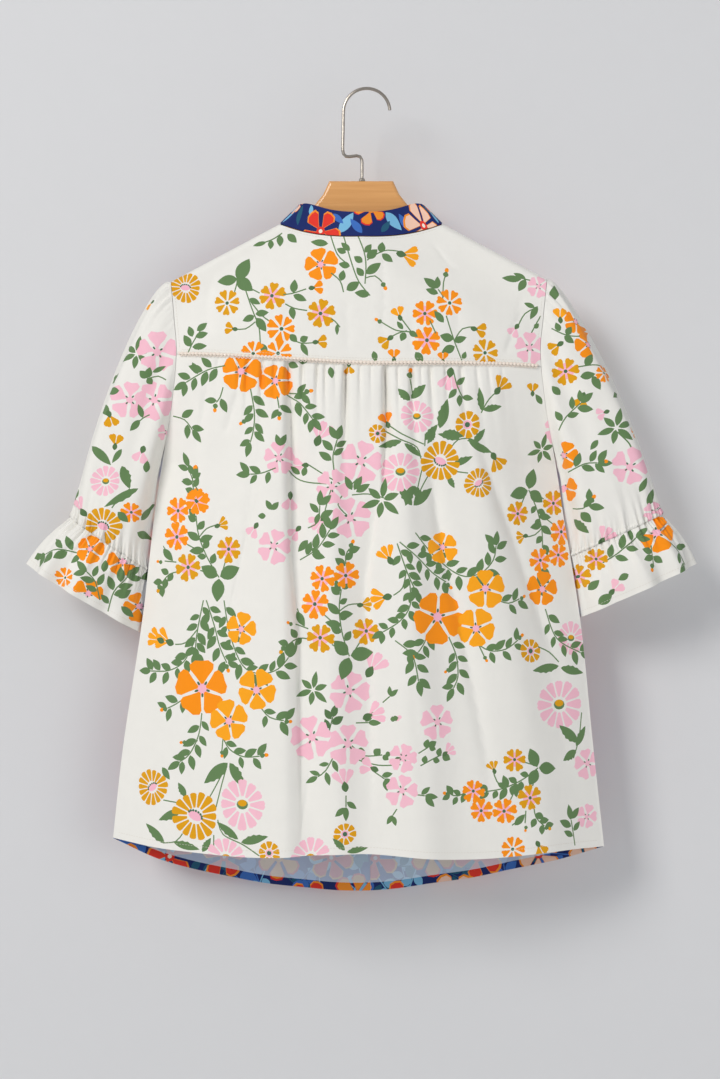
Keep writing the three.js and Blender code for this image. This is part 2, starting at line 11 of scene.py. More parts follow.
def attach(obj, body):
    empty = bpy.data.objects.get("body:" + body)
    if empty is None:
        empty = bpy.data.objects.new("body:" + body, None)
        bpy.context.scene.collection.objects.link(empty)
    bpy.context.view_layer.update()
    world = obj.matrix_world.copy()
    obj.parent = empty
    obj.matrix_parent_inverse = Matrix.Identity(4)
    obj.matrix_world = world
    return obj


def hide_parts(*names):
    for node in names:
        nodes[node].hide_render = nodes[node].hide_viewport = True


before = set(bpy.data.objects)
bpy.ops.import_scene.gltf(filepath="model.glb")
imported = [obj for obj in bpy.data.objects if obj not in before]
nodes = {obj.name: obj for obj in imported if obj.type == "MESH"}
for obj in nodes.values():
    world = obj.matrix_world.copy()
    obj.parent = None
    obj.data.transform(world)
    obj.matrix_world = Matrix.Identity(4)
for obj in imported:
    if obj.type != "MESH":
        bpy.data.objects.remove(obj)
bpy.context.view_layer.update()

scene = bpy.context.scene

# Shape of the garment in millimetres, as in the solids. Places across run from -1 at the left edge to 1.
body = {
    "hookPeakX": 5.7,
    "seamGap": 0.3,
    "ridgeApex": -96.0,
    "ridgeSlope": 0.53,
    "ridgeBend": 8.0,
    "settleLength": 80.0,
    "shoulderTipZ": -202.0,
    "underarmZ": -393.0,
    "seamAhead": 7.0,
    "neckHalf": 86.0,
    "backNeckZ": -157.0,
    "neckSideRise": 15.0,
    "frontNeckZ": -185.0,
    "slitBottomZ": -290.0,
    "slitHalf": 9.0,
    "crown": 2.4,
    "bulge": 12.0,
}
outlineRows = np.array([
    (-202, -199, 194), (-240, -195.5, 190), (-277, -192.5, 186.5), (-334, -198, 192.5), (-393, -209, 204),
    (-446, -217, 212), (-558, -230, 230), (-690, -250, 243.5), (-800, -262, 255.5)], dtype=float)
depthRows = np.array([
    (-140, 22, 20), (-202, 30, 25), (-285, 38, 30), (-393, 46, 35), (-560, 54, 40), (-800, 60, 44)], dtype=float)
crossRows = np.array([
    (-1, -279, -785, -785), (-0.8, -280.5, -792, -812), (-0.45, -285, -797, -837), (0, -290, -793, -848),
    (0.45, -290, -800, -834), (0.8, -290.5, -795, -812), (1, -292, -794, -794)], dtype=float)
bendArc = body["ridgeBend"] * math.pi / 2


def smooth(t):
    t = np.clip(t, 0.0, 1.0)
    return t * t * (3 - 2 * t)


def readTable(rows, column, at):
    keys, values = rows[:, 0], rows[:, column]
    at = np.asarray(at, dtype=float)
    if keys[-1] < keys[0]:
        keys, at = -keys, -at
    last = len(keys) - 1
    i = np.clip(np.searchsorted(keys, at, side="right") - 1, 0, last - 1)

    def slope(k):
        low, high = np.maximum(k - 1, 0), np.minimum(k + 1, last)
        return (values[high] - values[low]) / (keys[high] - keys[low])

    span = keys[i + 1] - keys[i]
    t = np.clip((at - keys[i]) / span, 0, 1)
    blend = smooth(t)
    pull = t * (1 - t) ** 2 * span * slope(i) - t * t * (1 - t) * span * slope(i + 1)
    return values[i] * (1 - blend) + values[i + 1] * blend + pull


def ridgeZ(x):
    return body["ridgeApex"] - body["ridgeSlope"] * np.abs(x)


def edgeX(side, z):
    return np.where(np.asarray(side) < 0, readTable(outlineRows, 1, z), readTable(outlineRows, 2, z))


def edgeDepth(z):
    top = body["shoulderTipZ"] - body["ridgeBend"]
    down = np.clip((top - z) / (top - body["underarmZ"]), 0, 1)
    return body["seamGap"] / 2 + body["ridgeBend"] * (1 - down) + body["bulge"] * np.sin(np.pi * down)


def faceY(face, x, z):
    half = np.abs(edgeX(x, z))
    middle = readTable(depthRows, 1 if face < 0 else 2, z)
    edge = edgeDepth(z)
    return face * (edge + (middle - edge) * (1 - np.clip(np.abs(x) / half, 0, 1) ** body["crown"]))


def drape(face, x, run):
    radius = body["ridgeBend"]
    turn = run / radius
    bentY = face * radius * np.sin(turn)
    bentZ = ridgeZ(x) - radius * (1 - np.cos(turn))
    z = ridgeZ(x) - radius - (run - bendArc)
    settled = smooth((run - bendArc) / body["settleLength"])
    y = face * (radius + (np.abs(faceY(face, x, z)) - radius) * settled)
    bent = run < bendArc
    return np.stack([x, np.where(bent, bentY, y), np.where(bent, bentZ, z)], axis=-1)


def runTo(x, z):
    drop = ridgeZ(x) - z
    radius = body["ridgeBend"]
    bent = radius * np.arccos(1 - np.clip(drop / radius, 0, 1))
    return np.where(drop < radius, bent, bendArc + drop - radius)


def neckBackZ(x):
    return body["backNeckZ"] + body["neckSideRise"] * np.minimum(1, np.abs(x) / body["neckHalf"]) ** 2.4


def neckFrontZ(x):
    side = ridgeZ(body["neckHalf"]) - 3
    return side + (body["frontNeckZ"] - side) * np.sqrt(np.maximum(0, 1 - (x / body["neckHalf"]) ** 2))


# Photo places, as counted in its pixels, turned to the garment's own x and z on a plane this far ahead of the hook.
picture = {"middle": (360, 539.5), "scale": 1.05, "cameraX": -7, "cameraBack": 2203.0, "cameraZ": -472}


def fromPhoto(px, py, ahead=0.0):
    near = picture["cameraBack"] / (picture["cameraBack"] - ahead)
    x = (px - picture["middle"][0]) * picture["scale"] / near + picture["cameraX"] + body["hookPeakX"]
    z = picture["cameraZ"] + (picture["middle"][1] - py) * picture["scale"] / near
    return x, z


# Flat cloth. A piece is triangulated flat, with its print as islands of colour, and then laid on its surface.
def rotate(points, degrees):
    c, s = math.cos(math.radians(degrees)), math.sin(math.radians(degrees))
    return [(x * c - y * s, x * s + y * c) for x, y in points]


def movedBy(points, x, y):
    return [(px + x, py + y) for px, py in points]


def pointAt(start, length, degrees):
    return movedBy(rotate([(length, 0)], degrees), *start)[0]


def leafShape(base, tip, width, teeth=0):
    length = math.hypot(tip[0] - base[0], tip[1] - base[1])
    angle = math.degrees(math.atan2(tip[1] - base[1], tip[0] - base[0]))
    count = 6 if not teeth else 2 * teeth + 1
    upper, lower = [], []
    for i in range(1, count + 1):
        t = i / (count + 1)
        half = width / 2 * math.sin(math.pi * t ** 0.85) ** 0.9
        notch = 0.78 if teeth and i % 2 == 0 else 1.0
        upper.append((t * length, half * notch))
        lower.append((t * length, -half * (0.85 if teeth else 1.0)))
    points = [(0, 0)] + lower + [(length, 0)] + upper[::-1]
    return movedBy(rotate(points, angle), *base)


def petalShape(radius, angle, profile):
    points = [(r * radius, a) for r, a in profile] + [(r * radius, -a) for r, a in profile[::-1] if a]
    return [(r * math.cos(math.radians(angle + a)), r * math.sin(math.radians(angle + a))) for r, a in points]


def roundShape(x, y, radius, count=8, squash=1.0, tilt=0):
    angles = [2 * math.pi * i / count for i in range(count)]
    points = [(radius * math.cos(angle), radius * squash * math.sin(angle)) for angle in angles]
    return movedBy(rotate(points, tilt), x, y)


# Petal outlines: share of the radius and half angle. Under is the disc below the petals: share, corners, colour.
flowerKinds = {
    "broad": {"petals": 5, "under": (0.26, 8, "heartPink"), "seeds": 5,
              "profile": [(0.17, 14), (0.5, 29), (0.8, 33), (0.96, 28), (1.02, 14), (0.97, 0)]},
    "blush": {"petals": 5, "under": (0.2, 8, "pink"), "seeds": 4,
              "profile": [(0.14, 9), (0.4, 21), (0.7, 30), (0.92, 29), (1.03, 16), (0.93, 0)]},
    "tiny": {"petals": 6, "under": (0.62, 12, "heartPink"),
             "profile": [(0.2, 9), (0.5, 20), (0.8, 24), (0.97, 20), (1.03, 10), (0.93, 0)]},
    "plain": {"petals": 7, "profile": [(0.22, 8), (0.5, 16), (0.8, 19.5), (0.97, 17), (1.03, 9), (0.94, 0)]},
    "gold": {"petals": 15, "profile": [(0.36, 7.5), (0.85, 10), (0.98, 9), (1.02, 4), (1.02, 0)]},
    "rose": {"petals": 12, "profile": [(0.34, 9), (0.8, 12.6), (0.95, 11), (1.0, 4), (0.97, 0)]},
    "fleck": {"petals": 9, "profile": [(0.4, 12), (0.8, 17.5), (0.97, 15), (1.0, 5), (0.97, 0)]},
}
printColours = {
    "ground": (239, 237, 230),
    "leaf": (100, 132, 84),
    "leafDark": (86, 117, 74),
    "orange": (255, 148, 4),
    "amber": (255, 168, 18),
    "mustard": (226, 160, 4),
    "pink": (249, 193, 208),
    "heartPink": (250, 186, 205),
    "seed": (72, 112, 82),
}


def flower(kind, x, y, radius, colour, turn=0):
    facts = flowerKinds[kind]
    step = 360 / facts["petals"]
    shapes = []

    def dot(share, corners, tint, squash=1.0, tilt=0, dx=0.0, dy=0.0):
        shapes.append((roundShape(x + dx, y + dy, radius * share, corners, squash, tilt), tint))

    if "under" in facts:
        dot(*facts["under"])
    for i in range(facts["petals"]):
        wobble = 1 + 0.06 * math.sin(5.1 * i + x)
        petal = petalShape(radius * wobble, turn + i * step, facts["profile"])
        shapes.append((movedBy(petal, x, y), colour))
    if kind == "gold":
        dot(0.34, 12, "heartPink", 0.6, turn - 25)
        for i in range(8):
            angle = math.radians(8 + 23 * i)
            off = rotate([(radius * 0.33 * math.cos(angle), radius * 0.2 * math.sin(angle))], turn - 25)[0]
            dot(0.06, 5, "seed", 1.0, 0, *off)
    elif kind == "rose":
        dot(0.25, 12, "leaf", 0.8, turn)
        dot(0.2, 10, "mustard", 0.7, turn, dy=radius * 0.06)
    elif kind == "fleck":
        dot(0.36, 8, "heartPink")
        dot(0.22, 7, "seed")
    elif kind in ("tiny", "plain"):
        dot(0.15, 6, "seed")
    seeds = facts.get("seeds", 0)
    for i in range(seeds):
        angle = turn + step / 2 + i * 360 / seeds
        dot(0.085, 6, "seed", 0.55, angle, *rotate([(radius * 0.24, 0)], angle)[0])
    return shapes


# A half-open flower seen from the side, its petals fanned out from a dark cup.
def cup(centre, radius, colour, toward, petals=None):
    petals = petals or (2 if radius < 15 else 3)
    spread = 96 / petals
    widths = [(0.5, 0.42), (0.8, 0.45), (0.97, 0.34), (1.04, 0.14)]
    profile = [(0.14, 12)] + [(reach, spread * share) for reach, share in widths] + [(1.0, 0)]
    shapes = []
    for i in range(petals):
        petal = petalShape(radius, toward + (i - (petals - 1) / 2) * spread, profile)
        shapes.append((movedBy(petal, *centre), colour))
    foot, head = pointAt(centre, radius * 0.35, toward + 180), pointAt(centre, radius * 0.3, toward)
    return shapes + [(leafShape(foot, head, radius * 0.42), "leafDark")]


def bud(x, y, size, colour, toward):
    dx, dy = rotate([(size, 0)], toward)[0]
    calyx = leafShape((x - dx * 0.6, y - dy * 0.6), (x + dx * 0.55, y + dy * 0.55), size * 1.05)
    return [(roundShape(x + dx * 0.75, y + dy * 0.75, size * 0.5, 7, 0.8, toward), colour), (calyx, "leaf")]


def star(centre, radius, turn=0):
    shapes = []
    for i in range(6):
        angle = 20 + 60 * i + turn
        tip = pointAt(centre, radius * (1.1 if i % 2 else 0.9), angle)
        shapes.append((leafShape(pointAt(centre, radius * 0.1, angle), tip, radius * 0.36), "leaf"))
    return shapes


def ribbonShape(path, width):
    path = [np.array(p, dtype=float) for p in path]
    left, right = [], []
    for i, p in enumerate(path):
        ahead = path[min(i + 1, len(path) - 1)] - path[max(i - 1, 0)]
        ahead /= max(1e-6, np.linalg.norm(ahead))
        side = np.array([-ahead[1], ahead[0]]) * width / 2
        left.append(tuple(p + side))
        right.append(tuple(p - side))
    return left + right[::-1]


def smoothPath(path, step=4.0):
    path = [np.array(p, dtype=float) for p in path]
    points = []
    for i in range(len(path) - 1):
        before = path[max(i - 1, 0)]
        after = path[min(i + 2, len(path) - 1)]
        count = max(2, int(np.linalg.norm(path[i + 1] - path[i]) / step))
        for k in range(count):
            t = k / count
            a, b = (path[i + 1] - before) / 2, (after - path[i]) / 2
            p = path[i] * (1 - t * t * (3 - 2 * t)) + path[i + 1] * t * t * (3 - 2 * t)
            points.append(p + a * t * (1 - t) ** 2 - b * t * t * (1 - t))
    points.append(path[-1])
    return points


stemWidth = 1.3


# A stem with leaves to either side in turn, spacing / 2 apart, and one at its tip.
def spray(path, leafLength, spacing, width, start, tip=True, colour="leaf", lean=48):
    line = smoothPath(path)
    shapes = [(ribbonShape(line, stemWidth), colour)]
    chance = random.Random(int(abs(path[0][0] * 7 + path[0][1] * 3)))
    travelled, nextLeaf, side = 0.0, start, 1
    for a, b in zip(line[:-1], line[1:]):
        travelled += float(np.linalg.norm(b - a))
        if travelled >= nextLeaf:
            heading = math.degrees(math.atan2(b[1] - a[1], b[0] - a[0]))
            size = leafLength * chance.uniform(0.82, 1.12)
            reach = pointAt(b, size, heading + side * (lean + chance.uniform(-8, 8)))
            foot = pointAt(b, size * 0.09, heading + side * lean)
            shapes.append((leafShape(foot, reach, width * size / leafLength), colour))
            side = -side
            nextLeaf += spacing / 2 * chance.uniform(0.8, 1.2)
    if tip:
        heading = math.degrees(math.atan2(line[-1][1] - line[-2][1], line[-1][0] - line[-2][0]))
        shapes.append((leafShape(tuple(line[-1]), pointAt(line[-1], leafLength, heading), width), colour))
    return shapes


# The cream print, charted on the picture's own grid, y downwards, in the order in which it is drawn. A row is
# a kind and its places: stems and sprays follow a path, leaves go from foot to tip and have a width, and the others
# have a middle, a size, a colour and a turn. Clusters are used more than once, centred on their origin.
clusters = {
    "sunny": {"origin": (229, 700), "motifs": [
        ("bareSpray", (203, 603, 212, 628, 218, 648, 226, 664)),
        ("spray", (222, 603, 229, 636, 243, 666, 262, 674, 280, 669, 290, 658),
            (200, 603, 194, 634, 192, 655, {"leafLength": 15})),
        ("stem", (194, 632, 182, 645, 170, 647)),
        ("spray", (192, 642, 180, 664, 163, 673, 142, 674, {"leafLength": 14}),
            (184, 698, 172, 706, 163, 710, {"tip": False, "start": 2}), (200, 714, 197, 735, 188, 754, 178, 762)),
        ("stem", (196, 741, 186, 743)), ("bareSpray", (222, 735, 230, 748, 245, 755, 262, 754)),
        ("stem", (223, 738, 222, 750)), ("spray", (263, 707, 272, 716, 286, 719, {"tip": False, "start": 2})),
        ("cup", (163, 645, 17, "amber", 160, 3)),
        ("bud", (226, 668, 5, "orange", -65), (160, 711, 5, "orange", 195), (182, 743, 4, "orange", 185),
            (265, 753, 5, "orange", 5), (222, 752, 4, "orange", -90), (289, 720, 4.5, "orange", 0)),
        ("broad", (200, 690, 27, "orange", 20), (258, 690, 20, "amber", 60), (229, 721, 20, "amber", 30),
            (241, 631, 16, "amber", 5)),
    ]},
    "blush": {"origin": (335, 715), "motifs": [
        ("stem", (350, 745, 357, 757, 378, 763, 400, 762)),
        ("spray", (352, 744, 364, 754, 382, 753, {"spacing": 18, "leafLength": 9, "tip": False}),
            (336, 750, 326, 768, 318, 774, {"leafLength": 14, "width": 5.5, "spacing": 15}),
            (346, 792, 346, 803, {"leafLength": 14, "width": 6, "spacing": 8}),
            (372, 768, 384, 776, {"leafLength": 13, "width": 6, "spacing": 9}),
            (356, 722, 368, 722, {"leafLength": 13, "width": 6, "spacing": 16}),
            (328, 735, 333, 716, {"leafLength": 13, "width": 7, "spacing": 12, "colour": "leafDark"})),
        ("star", (313, 690, 17)),
        ("cup", (345, 783, 17, "pink", 100, 3), (398, 757, 13, "pink", 20, 4), (370, 672, 20, "pink", 60, 3),
            (368, 716, 17, "pink", 25, 3)),
        ("bud", (388, 752, 5, "pink", 10), (393, 718, 5, "pink", 0)),
        ("blush", (349, 691, 20, "pink", 70), (312, 736, 21, "pink", 30), (348, 742, 20, "pink", 90)),
    ]},
    "meadow": {"origin": (420, 755), "motifs": [
        ("spray", (420, 764, 432, 758, 442, 754, {"leafLength": 10, "spacing": 14, "tip": False, "start": 2}),
            (418, 752, 428, 746, {"leafLength": 10, "spacing": 10}),
            (410, 791, 424, 793, {"leafLength": 14, "width": 6, "spacing": 12}),
            (397, 806, 393, 812, {"leafLength": 11, "width": 5, "spacing": 6}),
            (383, 703, 390, 697, {"leafLength": 11, "width": 5, "spacing": 7})),
        ("cup", (446, 753, 11, "pink", 35, 3)), ("bud", (396, 718, 5, "pink", 15)),
        ("blush", (438, 722, 17, "pink", 20), (402, 788, 16, "pink", 75)),
    ]},
    "posy": {"origin": (195, 540), "motifs": [
        ("spray", (219, 577, 206, 557, 197, 535, 194, 516, {"leafLength": 12, "spacing": 17, "tip": False})),
        ("stem", (212, 574, 199, 570), (222, 573, 226, 560), (197, 538, 205, 529, 216, 525),
            (178, 541, 190, 547, 202, 552)),
        ("spray", (195, 497, 190, 484, 192, 476, {"leafLength": 13, "spacing": 9, "tip": False, "start": 3}),
            (178, 571, 164, 574, 154, 584, {"leafLength": 12, "spacing": 12, "tip": False})),
        ("stem", (172, 562, 158, 561), (156, 546, 166, 560)),
        ("leaf", (217, 576, 200, 566, 13), (220, 576, 241, 567, 14), (219, 578, 217, 601, 14),
            (198, 540, 184, 532, 8), (198, 541, 212, 536, 8), (203, 550, 187, 551, 8), (156, 549, 168, 561, 8),
            (193, 520, 186, 508, 6)),
        ("cup", (217, 526, 11, "mustard", 20, 3)),
        ("bud", (193, 472, 5, "orange", 80), (153, 562, 4, "orange", 170), (152, 587, 5, "mustard", 250)),
        ("tiny", (173, 511, 13, "orange", 0), (195, 502, 13, "orange", 20), (172, 537, 14, "orange", 40),
            (186, 567, 14, "mustard", 10), (229, 549, 13, "mustard", 30)),
    ]},
    "daisies": {"origin": (210, 810), "motifs": [
        ("stem", (227, 768, 222, 785, 216, 808), (226, 768, 214, 790, 208, 800),
            (218, 820, 224, 834, 245, 843, 262, 853), (160, 845, 174, 843, 181, 835), (160, 803, 176, 805),
            (214, 835, 214, 850)),
        ("toothed", (228, 764, 203, 785, 14), (230, 764, 246, 788, 12), (184, 799, 176, 785, 8),
            (180, 812, 155, 823, 10), (162, 845, 140, 827, 10), (172, 844, 199, 850, 9), (202, 852, 211, 838, 8),
            (240, 838, 217, 822, 9), (243, 841, 271, 834, 10)),
        ("rose", (244, 804, 24, "pink", 0)), ("gold", (194, 817, 23, "mustard", 0), (147, 791, 17, "mustard", 60)),
        ("fleck", (272, 850, 11, "mustard", 10)),
    ]},
}


looseSpray = {"leafLength": 16.5, "spacing": 13.0, "width": 7.4, "start": 6.0}
clusterSpray = {"leafLength": 16.0, "spacing": 12.5, "width": 7.2, "start": 5.0}


def printShapes(chart, place, usual=looseSpray, size=picture["scale"], turn=0):
    shapes = []
    for kind, *rows in chart:
        for row in rows:
            if kind in ("stem", "spray", "bareSpray"):
                options = {**usual, "tip": kind == "spray"}
                if isinstance(row[-1], dict):
                    options.update({key: value * size if key in usual else value for key, value in row[-1].items()})
                    row = row[:-1]
                path = [place(x, y) for x, y in zip(row[::2], row[1::2])]
                if kind == "stem":
                    shapes.append((ribbonShape(smoothPath(path), stemWidth), "leaf"))
                else:
                    shapes += spray(path, **options)
            elif kind in ("leaf", "toothed"):
                x0, y0, x1, y1, width = row
                leaf = leafShape(place(x0, y0), place(x1, y1), width * size, 4 if kind == "toothed" else 0)
                shapes.append((leaf, "leaf"))
            elif kind == "star":
                shapes += star(place(*row[:2]), row[2] * size, turn)
            else:
                x, y, extent, colour, toward, *petals = row
                if kind == "cup":
                    shapes += cup(place(x, y), extent * size, colour, toward + turn, *petals)
                elif kind == "bud":
                    shapes += bud(*place(x, y), extent * size, colour, toward + turn)
                else:
                    shapes += flower(kind, *place(x, y), extent * size, colour, toward + turn)
    return shapes


def clusterShapes(name, centre, turn=0, scale=1.0):
    ox, oy = clusters[name]["origin"]
    size = picture["scale"] * scale

    def place(x, y):
        return movedBy(rotate([((x - ox) * size, (oy - y) * size)], turn), *centre)[0]

    usual = {key: value * size for key, value in clusterSpray.items()}
    return printShapes(clusters[name]["motifs"], place, usual, size, turn)


# Folds of the back body, from the solid: crest at the top and the bottom, reach to either side, height.
backFolds = [
    (-300, -84, -78, 48, 13, 13), (-340, -30, -24, 20, 16, 9), (-310, 36, 66, 30, 22, 12),
    (-330, 108, 196, 34, 22, 8), (-290, -160, -205, 20, 18, 4)]
frontFolds = [
    (-330, -112, -140, 30, 24, 8), (-360, -48, -62, 24, 22, 6), (-360, 58, 74, 22, 26, 7), (-330, 124, 156, 26, 28, 8)]

# Creases of the back body: path in the picture, depth, reach to the left and right. A negative depth is a ridge.
backCreases = [
    ([(291, 362), (290, 470), (292, 560), (299, 640), (300, 720), (302, 815)], 6.5, 2.2, 11),
    ([(345, 375), (345, 430), (342, 452)], 3.0, 1.8, 6),
    ([(377, 495), (365, 585), (370, 675), (371, 800)], 4.8, 9, 4),
    ([(385, 362), (386, 420), (383, 490)], 5.0, 2.0, 7),
    ([(430, 465), (440, 535), (470, 670), (492, 790)], 5.2, 6, 8),
    ([(482, 450), (520, 555), (562, 672)], 4.2, 6, 9),
    ([(255, 465), (246, 530), (235, 610)], 2.4, 5, 7),
    ([(205, 385), (200, 415), (194, 445)], 2.0, 4, 5),
    ([(235, 392), (230, 412), (224, 432)], 2.0, 4, 5),
    ([(260, 485), (242, 550), (227, 618)], 0.9, 1.8, 1.8),
    ([(311, 765), (305, 805), (299, 848)], 1.2, 2.4, 3),
    ([(412, 690), (420, 745), (424, 800)], 2.0, 7, 8),
    ([(206, 640), (200, 700), (196, 760)], 1.8, 8, 8),
    ([(536, 600), (556, 690), (570, 760)], 1.6, 7, 8),
    ([(330, 560), (326, 640), (330, 720)], -1.6, 8, 8),
]
# Gathers under the yoke: place in the picture, depth, reach, length and drift to the right on the way down.
gathers = [
    (217, 1.3, 2.0, 26, -4), (238, 1.8, 1.7, 30, -2), (247, 2.8, 2.0, 50, -3), (262, 3.4, 1.9, 54, -2),
    (274, 2.0, 1.6, 26, -1), (287, 5.8, 2.4, 80, 3), (302, 3.4, 1.9, 46, 1), (317, 3.6, 1.9, 44, 0),
    (325, 2.8, 1.6, 36, 1), (335, 1.8, 1.5, 20, 1), (346, 5.0, 2.2, 78, -2), (360, 2.6, 1.7, 34, 0),
    (371, 1.8, 1.7, 24, 0), (385, 5.4, 2.4, 95, 1), (398, 3.0, 1.7, 40, 2), (411, 5.2, 2.2, 72, 5),
    (421, 1.8, 1.5, 22, 3), (430, 3.8, 2.0, 52, 6), (446, 2.6, 1.8, 38, 4), (461, 3.2, 2.2, 60, 8),
    (477, 1.8, 2.1, 52, 9), (489, 1.4, 1.9, 36, 9), (503, 0.9, 1.9, 28, 6),
]
yokeCreases = [
    ([(525, 295), (516, 324), (505, 352)], 1.3, 2.6, 3.2),
    ([(383, 250), (384, 290), (382, 345)], 0.7, 3, 3),
    ([(290, 300), (286, 325), (287, 350)], 1.0, 5, 6),
    ([(345, 300), (347, 325), (348, 350)], 1.0, 5, 6),
    ([(212, 270), (205, 300), (203, 335)], 1.2, 6, 7),
    ([(412, 315), (411, 335), (412, 352)], 1.0, 4, 5),
    ([(455, 300), (458, 328), (462, 352)], 0.9, 5, 6),
    ([(435, 240), (444, 254), (455, 266)], 1.0, 4, 4),
]


def yokeZ(x):
    half = np.abs(edgeX(x, -285.0))
    return readTable(crossRows, 1, np.clip(x / half, -1, 1))


def hemZ(face, x):
    half = np.abs(edgeX(x, -795.0))
    return readTable(crossRows, 2 if face < 0 else 3, np.clip(x / half, -1, 1))


def foldHeight(folds, x, z):
    total = np.zeros_like(x)
    for topZ, topX, bottomX, leftReach, rightReach, height in folds:
        down = np.clip((topZ - z) / (topZ + 800), 0, 1)
        off = x - (topX + (bottomX - topX) * down)
        reach = np.where(off < 0, leftReach, rightReach) * (0.75 + 0.5 * down)
        total += height * np.exp(-((off / reach) ** 2)) * smooth((topZ - z) / 110)
    across = np.abs(x) / np.abs(edgeX(x, z))
    return total * (1 - np.clip(across, 0, 1) ** 8)


def creaseDepth(creases, x, z, ahead):
    total = np.zeros_like(x)
    for path, depth, left, right in creases:
        places = np.array([fromPhoto(px, py, ahead) for px, py in path])
        zs, xs = places[::-1, 1], places[::-1, 0]
        middle = np.interp(z, zs, xs)
        length = zs[-1] - zs[0]
        fade = 0.3 * length
        ends = smooth((z - zs[0] + 0.4 * fade) / fade) * smooth((zs[-1] + 0.4 * fade - z) / fade)
        off = x - middle
        low = 1 - 0.5 * np.clip((-420 - z) / 300, 0, 1)
        total += depth * np.exp(-np.abs(off / np.where(off < 0, left, right)) ** 1.6) * ends * low
    return total


def gatherDepths(x, z, below, places, ahead):
    total = np.zeros_like(x)
    for px, depth, reach, length, drift in places:
        middle = fromPhoto(px, 360, ahead)[0] + drift * np.clip(below / 90, 0, 1.3)
        widen = reach * (1 + below / 75)
        fall = np.exp(-(below / length) ** 1.3) * (0.3 + 0.7 * smooth(below / 12))
        total += (1.75 if px < 355 else 1.4) * depth * np.exp(-(((x - middle) / widen) ** 2)) * fall
    return total


# A face of the body, known by x and by its height when unrolled over the shoulder. Its print is laid out on the
# cloth without its gathers.
class Panel:
    def __init__(self, face, relief, top, bottom, reach=(-278, 272), smoothRelief=None):
        self.face, self.relief = face, smoothRelief or relief
        self.heights = np.arange(bottom - 6, top + 6, 4.0)
        self.places = np.arange(reach[0], reach[1], 1.0)
        grid = self.at(*np.meshgrid(self.places, self.heights))
        steps = np.linalg.norm(np.diff(grid, axis=1), axis=2)
        arc = np.concatenate([np.zeros((len(self.heights), 1)), np.cumsum(steps, axis=1)], axis=1)
        middle = int(np.searchsorted(self.places, 0))
        self.arc = arc - arc[:, middle:middle + 1]
        self.relief = relief

    def at(self, x, v):
        run = np.maximum(ridgeZ(x) - v, -bendArc)
        p = drape(self.face, x, run)
        p[..., 1] += self.face * self.relief(x, p[..., 2])
        return p

    def rowShare(self, v):
        row = np.clip((v - self.heights[0]) / 4.0, 0, len(self.heights) - 1.001)
        low = row.astype(int)
        return low, row - low

    def toFlat(self, x, v):
        x, v = np.atleast_1d(np.asarray(x, float)), np.atleast_1d(np.asarray(v, float))
        low, share = self.rowShare(v)
        column = np.clip(x - self.places[0], 0, len(self.places) - 1.001)
        left = column.astype(int)
        part = column - left
        a = self.arc[low, left] * (1 - part) + self.arc[low, left + 1] * part
        b = self.arc[low + 1, left] * (1 - part) + self.arc[low + 1, left + 1] * part
        return a * (1 - share) + b * share, v

    def across(self, u, v):
        low, share = self.rowShare(v)
        x = np.empty_like(u)
        for row in np.unique(low):
            mine = low == row
            a = np.interp(u[mine], self.arc[row], self.places)
            b = np.interp(u[mine], self.arc[row + 1], self.places)
            x[mine] = a * (1 - share[mine]) + b * share[mine]
        return x

    def surface(self, flat):
        u, v = flat[:, 0], flat[:, 1]
        return self.at(self.across(u, v), v)

    def fromPhoto(self, px, py, ahead):
        x, z = fromPhoto(px, py, ahead)
        u, v = self.toFlat(x, z + body["ridgeBend"] - bendArc)
        return float(u[0]), float(v[0])


def inside(points, polygon):
    x, y = points[:, 0], points[:, 1]
    hits = np.zeros(len(points), bool)
    for (x0, y0), (x1, y1) in zip(polygon, np.roll(polygon, -1, axis=0)):
        crosses = (y0 > y) != (y1 > y)
        if crosses.any():
            hits[crosses] ^= x[crosses] < (x1 - x0) * (y[crosses] - y0) / (y1 - y0) + x0
    return hits


# Cuts a flat piece with its print into triangles. Each takes the colour of the last shape that its middle lies in.
def cutCloth(outline, islands, grid):
    outline = np.asarray(outline, float)
    low, high = outline.min(axis=0), outline.max(axis=0)
    verts, edges, kept = [], [], []
    for points in [outline] + [np.asarray(points, float) for points, tint in islands]:
        if (points.max(axis=0) < low).any() or (points.min(axis=0) > high).any():
            kept.append(None)
            continue
        kept.append(points)
        first, count = len(verts), len(points)
        verts += [tuple(p) for p in points]
        edges += [(first + i, first + (i + 1) % count) for i in range(count)]
    grid = grid[inside(grid, outline)]
    verts += [tuple(p) for p in grid]
    cut = delaunay_2d_cdt([Vector(p) for p in verts], edges, [], 0, 1e-4, False)
    flat = np.array([tuple(p) for p in cut[0]])
    triangles = np.array([corners for corners in cut[2] if len(corners) == 3])
    a, b, c = flat[triangles[:, 0]], flat[triangles[:, 1]], flat[triangles[:, 2]]
    area = (b[:, 0] - a[:, 0]) * (c[:, 1] - a[:, 1]) - (b[:, 1] - a[:, 1]) * (c[:, 0] - a[:, 0])
    middles = (a + b + c) / 3
    good = (np.abs(area) > 1e-6) & inside(middles, outline)
    triangles, middles = triangles[good], middles[good]
    order = np.argsort(middles[:, 0])
    sortedX = middles[order, 0]
    owner = np.zeros(len(triangles), int)
    for i, points in enumerate(kept[1:], start=1):
        if points is not None:
            left, right = np.searchsorted(sortedX, (points[:, 0].min(), points[:, 0].max()))
            near = order[left:right]
            owner[near[inside(middles[near], points)]] = i
    tints = ["ground"] + [tint for points, tint in islands]
    return flat, triangles, [tints[i] for i in owner]


